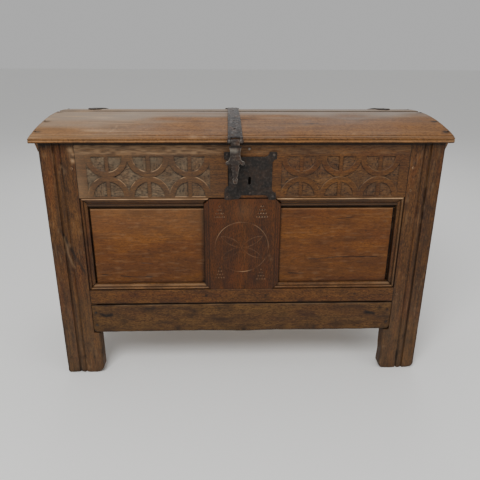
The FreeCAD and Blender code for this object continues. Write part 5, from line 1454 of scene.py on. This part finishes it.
def build_hasp():
    """The scrolled hasp and the staple that it pushes into the lock."""
    forged(
        "hasp", "hasp", "iron_forged_hasp", HASP_DETAIL, 0.3, seed=12, grow=5, shaded=HASP_DARKENING,
        # Painted highlights on the upper plate, on both scrolls and low on the hasp.
        rubbed_and_lit=(
            (-40, 792, 9, 0.5), (-26, 790, 10, 0.45), (-53, 765, 7, 1.0), (-5, 762, 5, 0.7),
            (-27, 701, 5, 0.3),
        ),
    )
    forged("hasp_staple", "hasp", "iron_forged_hasp", PIN_DETAIL, 0.12, seed=13, grow=4)


# The larger lobe at the lower left of the lock plate: its outline in x and z.
LOCK_LOBE = (
    (-56, 634), (-48, 631), (-30, 630.5), (-18, 632), (-10, 638), (-6, 650), (-8, 672), (-42, 675),
    (-52, 673), (-59, 664), (-61, 652), (-59, 640),
)


def build_lock():
    """The lock plate and its nails, and the case and bolt behind it."""
    forged(
        "lock_plate", "carcass", "iron_beaten_plate", PLATE_DETAIL, 0.45, made="beaten",
        soften=2, seed=14, grow=6, lobe=LOCK_LOBE,
        # Painted highlights on the scrollwork of the lower lobe and at two places on the plate.
        rubbed_and_lit=(
            (-50, 664, 3, 0.6), (-38, 667, 3, 0.5), (-28, 652, 3, 0.5), (-46, 645, 3, 0.5),
            (-20, 640, 3, 0.5), (43, 733, 4, 0.6), (28, 655, 4, 0.5),
        ),
        # Dark marks in the lower lobe, and the hasp's shadow painted down the plate at its left.
        shaded=(
            (-42, 655, 4, 0.7), (-30, 640, 3, 0.7), (-20, 660, 4, 0.6), (-46, 720, 9, 0.5),
            (-46, 700, 9, 0.5),
        ),
    )
    forged(
        "lock_plate_nails", "carcass", "iron_forged_hasp", PIN_DETAIL, 0.25, seed=15,
        # A paler nail head, and a painted highlight on a corner nail.
        rubbed_and_lit=((18, 788, 12, 0.7), (91, 770, 9, 0.2)),
    )
    detail = sizes().iron_detail
    forged("lock_case", "carcass", "iron_beaten_plate", detail, 0.2, seed=16, grow=8)
    forged("lock_bolt", "lock_bolt", "iron_forged_hasp", PIN_DETAIL, 0.1, seed=17)


def build_carcass_irons():
    """The hinge leaves and their pins, and the nails of the back and the base board."""
    detail = sizes().iron_detail
    for side, seed in (("left", 24), ("right", 25)):
        node = side + "_hinge_leaf"
        forged(node, "carcass", "iron_forged_strap", detail, 0.4, seed=seed, grow=9)
    nails("hinge_leaf_nails", "carcass", 23)
    forged("hinge_pins", "carcass", "iron_forged_strap", HASP_DETAIL, 0.15, seed=24)
    nails("base_board_nails", "carcass", 25)


def build_pegs():
    """The ends of the pegs that hold the joints."""
    forged(
        "joint_pegs", "carcass", "oak_peg_end", PLATE_DETAIL, 0.3, made="worn", soften=4, seed=26,
    )


# ---- materials ---------------------------------------------------------------------------------------
def add(tree, kind, inputs=None, **settings):
    """Add a node with its settings, and give each input a value or a link. Returns its outputs."""
    node = tree.nodes.new(kind)
    for key, value in settings.items():
        setattr(node, key, value)
    for key, value in (inputs or {}).items():
        if isinstance(value, bpy.types.NodeSocket):
            tree.links.new(value, node.inputs[key])
        else:
            node.inputs[key].default_value = value
    return node.outputs


def empty_material(name):
    """The bare node tree of a new material."""
    material = bpy.data.materials.new(name)
    material.use_nodes = True
    material.node_tree.nodes.clear()
    return material.node_tree


def waxed_oak(name, dark, mid, light, rough=(0.5, 0.7), streak=0.55, blotch=0.5, red=0.3, spread=1.0,
              speck=0.6):
    """Oak, cleft and hand planed, then waxed for centuries. It reads as long soft streaks that follow
    each board, dark pores, broad patches of redder and greyer patina, black dirt in every quirk and
    paler wood where edges have rubbed bare. Painted shade also darkens its gaps and recesses, painted
    highlights lighten edges that face the light, and a painted sheen greys the top of the lid."""
    tree = empty_material(name)
    value = {
        key: add(tree, "ShaderNodeAttribute", attribute_name=key)["Vector" if key == "grain" else "Fac"]
        for key in ("grain", "grime_and_shade", "ground", "dust_and_sheen", "wear_and_highlight")
    }
    c = colours()
    # Each layer: length and width of its marks in millimetres, noise detail, where it starts and is
    # full, how strongly it covers, and its colour. Pores are a third of a millimetre wide; they are
    # drawn 1 mm wide so that they show, and spread widens all of them for a board seen at a low slant.
    layers = (
        ("patina", 180, 60, 4, 0.38, 0.64, 1.0, light),
        ("rings", 150, 5.5, 4, 0.42, 0.68, streak, dark),
        ("warmth", 220, 50, 4, 0.48, 0.66, red, c.russet),
        ("fine", 26, 2.0, 3, 0.48, 0.7, 0.5, dark),
        ("pores", 16, 1.0, 1, 0.58, 0.7, 0.55, dark),
        ("flecks", 11, 2.4, 2, 0.5, 0.66, 1.1 * speck, light),
        ("mottle", 7, 3.0, 3, 0.48, 0.66, speck, dark),
        ("stain", 80, 34, 5, 0.5, 0.72, blotch, dark),
    )
    colour, noise = [*mid, 1], {}
    for number, (key, length, width, detail, start, full, most, tint) in enumerate(layers):
        wide = width * MM * spread
        scale = 1 / (length * MM), 1 / wide, 1 / wide
        offset = 3.1 * number, 1.7 * number, 0.9 * number
        place = {"Vector": value["grain"], "Scale": scale, "Location": offset}
        place = add(tree, "ShaderNodeMapping", place)[0]
        marks = {"Vector": place, "Scale": 1.0, "Detail": detail, "Distortion": 0.4}
        noise[key] = add(tree, "ShaderNodeTexNoise", marks)[0]
        share = {"Value": noise[key], "From Min": start, "From Max": full, "To Max": most}
        share = add(tree, "ShaderNodeMapRange", share)[0]
        colour = add(tree, "ShaderNodeMix", {0: share, 6: colour, 7: [*tint, 1]}, data_type="RGBA")[2]
    # Dust and a painted sheen turn a lid's top grey; the cut ground of carving stays dull; dirt with painted
    # shade, and wear with painted highlights, come last.
    for key, most, tint in (
        ("dust_and_sheen", 0.6, c.dusty_sheen), ("ground", 0.7, c.carved_ground), ("grime_and_shade", 0.94, c.grime_and_shade),
        ("wear_and_highlight", 0.8, c.rubbed_and_lit),
    ):
        share = {0: value[key], 1: most}
        share = add(tree, "ShaderNodeMath", share, operation="MULTIPLY", use_clamp=True)[0]
        colour = add(tree, "ShaderNodeMix", {0: share, 6: colour, 7: [*tint, 1]}, data_type="RGBA")[2]
    gloss = {"Value": noise["patina"], "From Min": 0.3, "From Max": 0.7}
    gloss.update({"To Min": rough[0], "To Max": rough[1]})
    gloss = add(tree, "ShaderNodeMapRange", gloss)[0]
    pores = {"Height": noise["pores"], "Strength": 0.3, "Distance": 0.0005}
    pores = add(tree, "ShaderNodeBump", pores, invert=True)[0]
    rings = {"Height": noise["rings"], "Normal": pores, "Strength": 0.35, "Distance": 0.0008}
    rings = add(tree, "ShaderNodeBump", rings)[0]
    surface = {"Base Color": colour, "Roughness": gloss, "Normal": rings, "IOR": 1.45}
    surface["Specular IOR Level"] = 0.3
    surface = add(tree, "ShaderNodeBsdfPrincipled", surface)[0]
    add(tree, "ShaderNodeOutputMaterial", {"Surface": surface})


def wrought_iron(name, dark, worn, rust, rub_and_glint=0.6, scaly=0.6):
    """Wrought iron, forged by hand. It reads as nearly black scale, dented by the hammer, rubbed grey
    on its high places and browned with fine rust. Its grey also carries painted highlights, and a last
    layer darkens it with dirt and painted shade."""
    tree = empty_material(name)
    place = add(tree, "ShaderNodeAttribute", attribute_name="grain")["Vector"]
    wear_and_highlight = add(tree, "ShaderNodeAttribute", attribute_name="wear_and_highlight")["Fac"]
    dirt_and_shade = add(tree, "ShaderNodeAttribute", attribute_name="grime_and_shade")["Fac"]
    # Scale flakes about 8 mm across, rust bloom about 26 mm, pits about 4.5 mm.
    flakes = {"Vector": place, "Scale": 125.0, "Detail": 4.0, "Roughness": 0.6}
    flakes = add(tree, "ShaderNodeTexNoise", flakes)[0]
    bloom = {"Vector": place, "Scale": 38.0, "Detail": 5.0, "Roughness": 0.7}
    bloom = add(tree, "ShaderNodeTexNoise", bloom)[0]
    pits = add(tree, "ShaderNodeTexVoronoi", {"Vector": place, "Scale": 220.0})["Distance"]
    colour = [*dark, 1]
    # Rust bloom, scale, then wear with painted highlights, then dirt and painted shade, each mixed over the
    # last.
    for source, start, full, most, tint in (
        (bloom, 0.45, 0.68, 1.0, rust), (flakes, 0.5, 0.72, scaly, worn), (wear_and_highlight, 0.15, 0.9, rub_and_glint, worn),
        (dirt_and_shade, 0.0, 1.0, 0.95, colours().grime_and_shade),
    ):
        share = {"Value": source, "From Min": start, "From Max": full, "To Max": most}
        share = add(tree, "ShaderNodeMapRange", share)[0]
        colour = add(tree, "ShaderNodeMix", {0: share, 6: colour, 7: [*tint, 1]}, data_type="RGBA")[2]
    gloss = {"Value": flakes, "From Min": 0.3, "From Max": 0.7, "To Min": 0.7, "To Max": 0.45}
    gloss = add(tree, "ShaderNodeMapRange", gloss)[0]
    dents = add(tree, "ShaderNodeBump", {"Height": flakes, "Strength": 0.5, "Distance": 0.0008})[0]
    pitted = {"Height": pits, "Normal": dents, "Strength": 0.2, "Distance": 0.0005}
    pitted = add(tree, "ShaderNodeBump", pitted)[0]
    surface = {"Base Color": colour, "Roughness": gloss, "Normal": pitted, "Metallic": 0.5}
    surface = add(tree, "ShaderNodeBsdfPrincipled", surface)[0]
    add(tree, "ShaderNodeOutputMaterial", {"Surface": surface})


def make_finishes():
    """One finish for each sort of board and iron."""
    c = colours()
    waxed_oak("oak_waxed_frame", c.frame_dark, c.frame_mid, c.frame_light, speck=0.8)
    waxed_oak(
        "oak_waxed_stile", linear("#1f1208"), linear("#4b2e14"), linear("#66421e"), red=0.5, streak=0.7,
    )
    waxed_oak(
        "oak_waxed_muntin", linear("#1d0f05"), linear("#3f210a"), linear("#58300c"), red=0.6, streak=0.35,
    )
    waxed_oak("oak_waxed_carved", c.frame_dark, linear("#4e3016"), linear("#66421d"), red=0.3)
    waxed_oak(
        "oak_waxed_board", c.frame_dark, linear("#4f3417"), linear("#634622"), red=0.15, blotch=0.6,
        speck=0.7,
    )
    waxed_oak(
        "oak_waxed_panel", linear("#331a08"), c.panel_mid, c.panel_light, red=0.3, streak=0.26, speck=0.36,
    )
    waxed_oak(
        "oak_worn_lid", linear("#4c2f15"), c.lid_mid, c.lid_light, red=0.2, streak=0.5, blotch=0.35,
        speck=0.65, spread=2.2,
    )
    waxed_oak(
        "oak_dry_inside", c.frame_mid, c.inner_mid, linear("#a48a64"), rough=(0.7, 0.85), red=0.1, blotch=0.3,
    )
    waxed_oak("oak_peg_end", c.frame_dark, linear("#3a2110"), linear("#553418"))
    wrought_iron("iron_forged_strap", c.iron_dark, c.iron_worn_and_lit, c.iron_rust, scaly=0.7)
    wrought_iron("iron_forged_hasp", linear("#2d2521"), linear("#8a8378"), c.iron_rust, rub_and_glint=0.8, scaly=0.25)
    wrought_iron("iron_beaten_plate", linear("#1b1714"), linear("#4a403a"), linear("#32241a"), scaly=0.45)
    wrought_iron("iron_nail_head", linear("#1c1815"), linear("#5b534c"), linear("#3a281d"), rub_and_glint=0.5)


# ---- stage ------------------------------------------------------------------------------------------
# The camera's place in metres, its angles in degrees, and its lens and sensor in millimetres.
CAMERA_PLACE = Vector((-0.06358, -1.79143, 1.08796))
CAMERA_PITCH, CAMERA_YAW, CAMERA_ROLL = 21.34126, 1.97357, 0.32875
CAMERA_LENS = 38.25
CAMERA_SENSOR = 36
FLOOR_REACH = 20
# Each lamp: its name, place, power in watts and width. All of them are turned to the chest's middle.
LAMP_TARGET = Vector((0, 0, 0.5))
LIGHTS = (
    ("key_light", (-0.9, -2.6, 3.0), 95, 1.4),
    ("fill_light", (2.4, -2.4, 1.6), 22, 2.2),
    ("back_light", (0.2, 2.4, 2.8), 30, 3.0),
)


def build_stage():
    """The floor, the soft light round it, three lamps and the camera."""
    tree = empty_material("floor_matt_white")
    shade = add(tree, "ShaderNodeTexNoise", {"Scale": 40.0, "Detail": 3.0})[0]
    rough = add(tree, "ShaderNodeMapRange", {"Value": shade, "To Min": 0.75, "To Max": 0.85})[0]
    surface = {"Base Color": [*colours().floor, 1], "Roughness": rough}
    surface = add(tree, "ShaderNodeBsdfPrincipled", surface)[0]
    add(tree, "ShaderNodeOutputMaterial", {"Surface": surface})
    mesh = bpy.data.meshes.new("floor")
    corners = [(x * FLOOR_REACH, y * FLOOR_REACH, 0) for x, y in ((-1, -1), (1, -1), (1, 1), (-1, 1))]
    mesh.from_pydata(corners, [], [(0, 1, 2, 3)])
    mesh.materials.append(bpy.data.materials["floor_matt_white"])
    floor = new_object("floor", mesh)
    world = bpy.data.worlds.new("studio")
    world.use_nodes = True
    sky = world.node_tree.nodes["Background"].inputs
    sky["Color"].default_value = [*linear("#ffffff"), 1]
    sky["Strength"].default_value = 0.5
    bpy.context.scene.world = world
    for name, place, power, width in LIGHTS:
        light = bpy.data.lights.new(name, "AREA")
        light.energy = power
        light.size = width
        lamp = new_object(name, light)
        lamp.location = place
        lamp.rotation_euler = (LAMP_TARGET - Vector(place)).to_track_quat("-Z", "Y").to_euler()
    pitch, yaw, roll = (math.radians(a) for a in (CAMERA_PITCH, CAMERA_YAW, CAMERA_ROLL))
    ahead = Vector((math.sin(yaw) * math.cos(pitch), math.cos(yaw) * math.cos(pitch), -math.sin(pitch)))
    level = Vector((math.cos(yaw), -math.sin(yaw), 0))
    upright = level.cross(ahead)
    right = math.cos(roll) * level + math.sin(roll) * upright
    up = -math.sin(roll) * level + math.cos(roll) * upright
    camera = new_object("camera", bpy.data.cameras.new("camera"))
    turned = Matrix((right, up, -ahead)).transposed().to_4x4()
    camera.matrix_world = Matrix.Translation(CAMERA_PLACE) @ turned
    camera.data.lens = CAMERA_LENS
    camera.data.sensor_width = CAMERA_SENSOR
    bpy.context.scene.camera = camera


# ---- operators, panel and main ---------------------------------------------------------------------
class COFFER_OT_stage(bpy.types.Operator):
    """Lay the floor and set the lights and the camera"""

    bl_idname = "coffer.stage"
    bl_label = "Stage"

    def execute(self, context):
        build_stage()
        return {"FINISHED"}


class COFFER_OT_finishes(bpy.types.Operator):
    """Mix the finishes of the oak and the iron"""

    bl_idname = "coffer.finishes"
    bl_label = "Finishes"

    def execute(self, context):
        make_finishes()
        return {"FINISHED"}


class COFFER_OT_front_rails(bpy.types.Operator):
    """Cut the carved top rail and the moulded lower rail"""

    bl_idname = "coffer.front_rails"
    bl_label = "Front rails"

    def execute(self, context):
        build_top_rail()
        build_lower_rail()
        return {"FINISHED"}


class COFFER_OT_muntin(bpy.types.Operator):
    """Cut the muntin with its rosette"""

    bl_idname = "coffer.muntin"
    bl_label = "Muntin"

    def execute(self, context):
        build_muntin()
        return {"FINISHED"}


class COFFER_OT_stiles(bpy.types.Operator):
    """Run the beads of the front stiles and plane the rear ones"""

    bl_idname = "coffer.stiles"
    bl_label = "Stiles"

    def execute(self, context):
        for side in (-1, 1):
            build_front_stile(side)
            build_rear_stile(side)
        return {"FINISHED"}


class COFFER_OT_front_boards(bpy.types.Operator):
    """Plane the front panels and the base board"""

    bl_idname = "coffer.front_boards"
    bl_label = "Front panels and base board"

    def execute(self, context):
        build_front_panels()
        build_base_board()
        return {"FINISHED"}


class COFFER_OT_sides(bpy.types.Operator):
    """Plane the rails and panels of the ends and the back"""

    bl_idname = "coffer.sides"
    bl_label = "Ends and back"

    def execute(self, context):
        build_sides()
        build_rear()
        return {"FINISHED"}


class COFFER_OT_floor(bpy.types.Operator):
    """Lay the floor boards on their ledges"""

    bl_idname = "coffer.floor"
    bl_label = "Floor of the chest"

    def execute(self, context):
        build_floor()
        return {"FINISHED"}


class COFFER_OT_lid(bpy.types.Operator):
    """Shape the two boards of the lid and their cleats"""

    bl_idname = "coffer.lid"
    bl_label = "Lid"

    def execute(self, context):
        build_lid_board("lid_front_board", 81, 0.12)
        build_lid_board("lid_rear_board", 82, 0.25)
        build_cleats()
        return {"FINISHED"}


class COFFER_OT_lid_irons(bpy.types.Operator):
    """Forge the straps and nails of the lid"""

    bl_idname = "coffer.lid_irons"
    bl_label = "Lid irons"

    def execute(self, context):
        build_lid_irons()
        return {"FINISHED"}


class COFFER_OT_hasp(bpy.types.Operator):
    """Forge the hasp and its staple"""

    bl_idname = "coffer.hasp"
    bl_label = "Hasp"

    def execute(self, context):
        build_hasp()
        return {"FINISHED"}


class COFFER_OT_lock(bpy.types.Operator):
    """Beat the lock plate and make the lock behind it"""

    bl_idname = "coffer.lock"
    bl_label = "Lock"

    def execute(self, context):
        build_lock()
        return {"FINISHED"}


class COFFER_OT_carcass_irons(bpy.types.Operator):
    """Forge the hinge leaves, their pins and the nails of the carcass"""

    bl_idname = "coffer.carcass_irons"
    bl_label = "Carcass irons"

    def execute(self, context):
        build_carcass_irons()
        return {"FINISHED"}


class COFFER_OT_pegs(bpy.types.Operator):
    """Drive the pegs of the joints"""

    bl_idname = "coffer.pegs"
    bl_label = "Pegs"

    def execute(self, context):
        build_pegs()
        return {"FINISHED"}


OPERATORS = (
    COFFER_OT_stage, COFFER_OT_finishes, COFFER_OT_front_rails, COFFER_OT_muntin, COFFER_OT_stiles,
    COFFER_OT_front_boards, COFFER_OT_sides, COFFER_OT_floor, COFFER_OT_lid, COFFER_OT_lid_irons,
    COFFER_OT_hasp, COFFER_OT_lock, COFFER_OT_carcass_irons, COFFER_OT_pegs,
)


class COFFER_PT_panel(bpy.types.Panel):
    """Lists the pieces of the coffer with its sizes and colours"""

    bl_label = "Coffer"
    bl_space_type = "VIEW_3D"
    bl_region_type = "UI"
    bl_category = "Coffer"

    def draw(self, context):
        for group in (context.scene.coffer_sizes, context.scene.coffer_colours):
            for key in group.bl_rna.properties.keys():
                if key not in ("rna_type", "name"):
                    self.layout.prop(group, key)
        for made in OPERATORS:
            self.layout.operator(made.bl_idname)


CLASSES = (CofferSizes, CofferColours, *OPERATORS, COFFER_PT_panel)


def register():
    """Register the classes, and give the scene its sizes and colours."""
    for made in CLASSES:
        bpy.utils.register_class(made)
    bpy.types.Scene.coffer_sizes = PointerProperty(type=CofferSizes)
    bpy.types.Scene.coffer_colours = PointerProperty(type=CofferColours)


def unregister():
    """Take away what register has added."""
    del bpy.types.Scene.coffer_colours
    del bpy.types.Scene.coffer_sizes
    for made in reversed(CLASSES):
        bpy.utils.unregister_class(made)


def main():
    """Build the coffer piece by piece."""
    register()
    bpy.ops.coffer.stage()
    bpy.ops.coffer.finishes()
    bpy.ops.coffer.front_rails()
    bpy.ops.coffer.muntin()
    bpy.ops.coffer.stiles()
    bpy.ops.coffer.front_boards()
    bpy.ops.coffer.sides()
    bpy.ops.coffer.floor()
    bpy.ops.coffer.lid()
    bpy.ops.coffer.lid_irons()
    bpy.ops.coffer.hasp()
    bpy.ops.coffer.lock()
    bpy.ops.coffer.carcass_irons()
    bpy.ops.coffer.pegs()


if __name__ == "__main__":
    main()
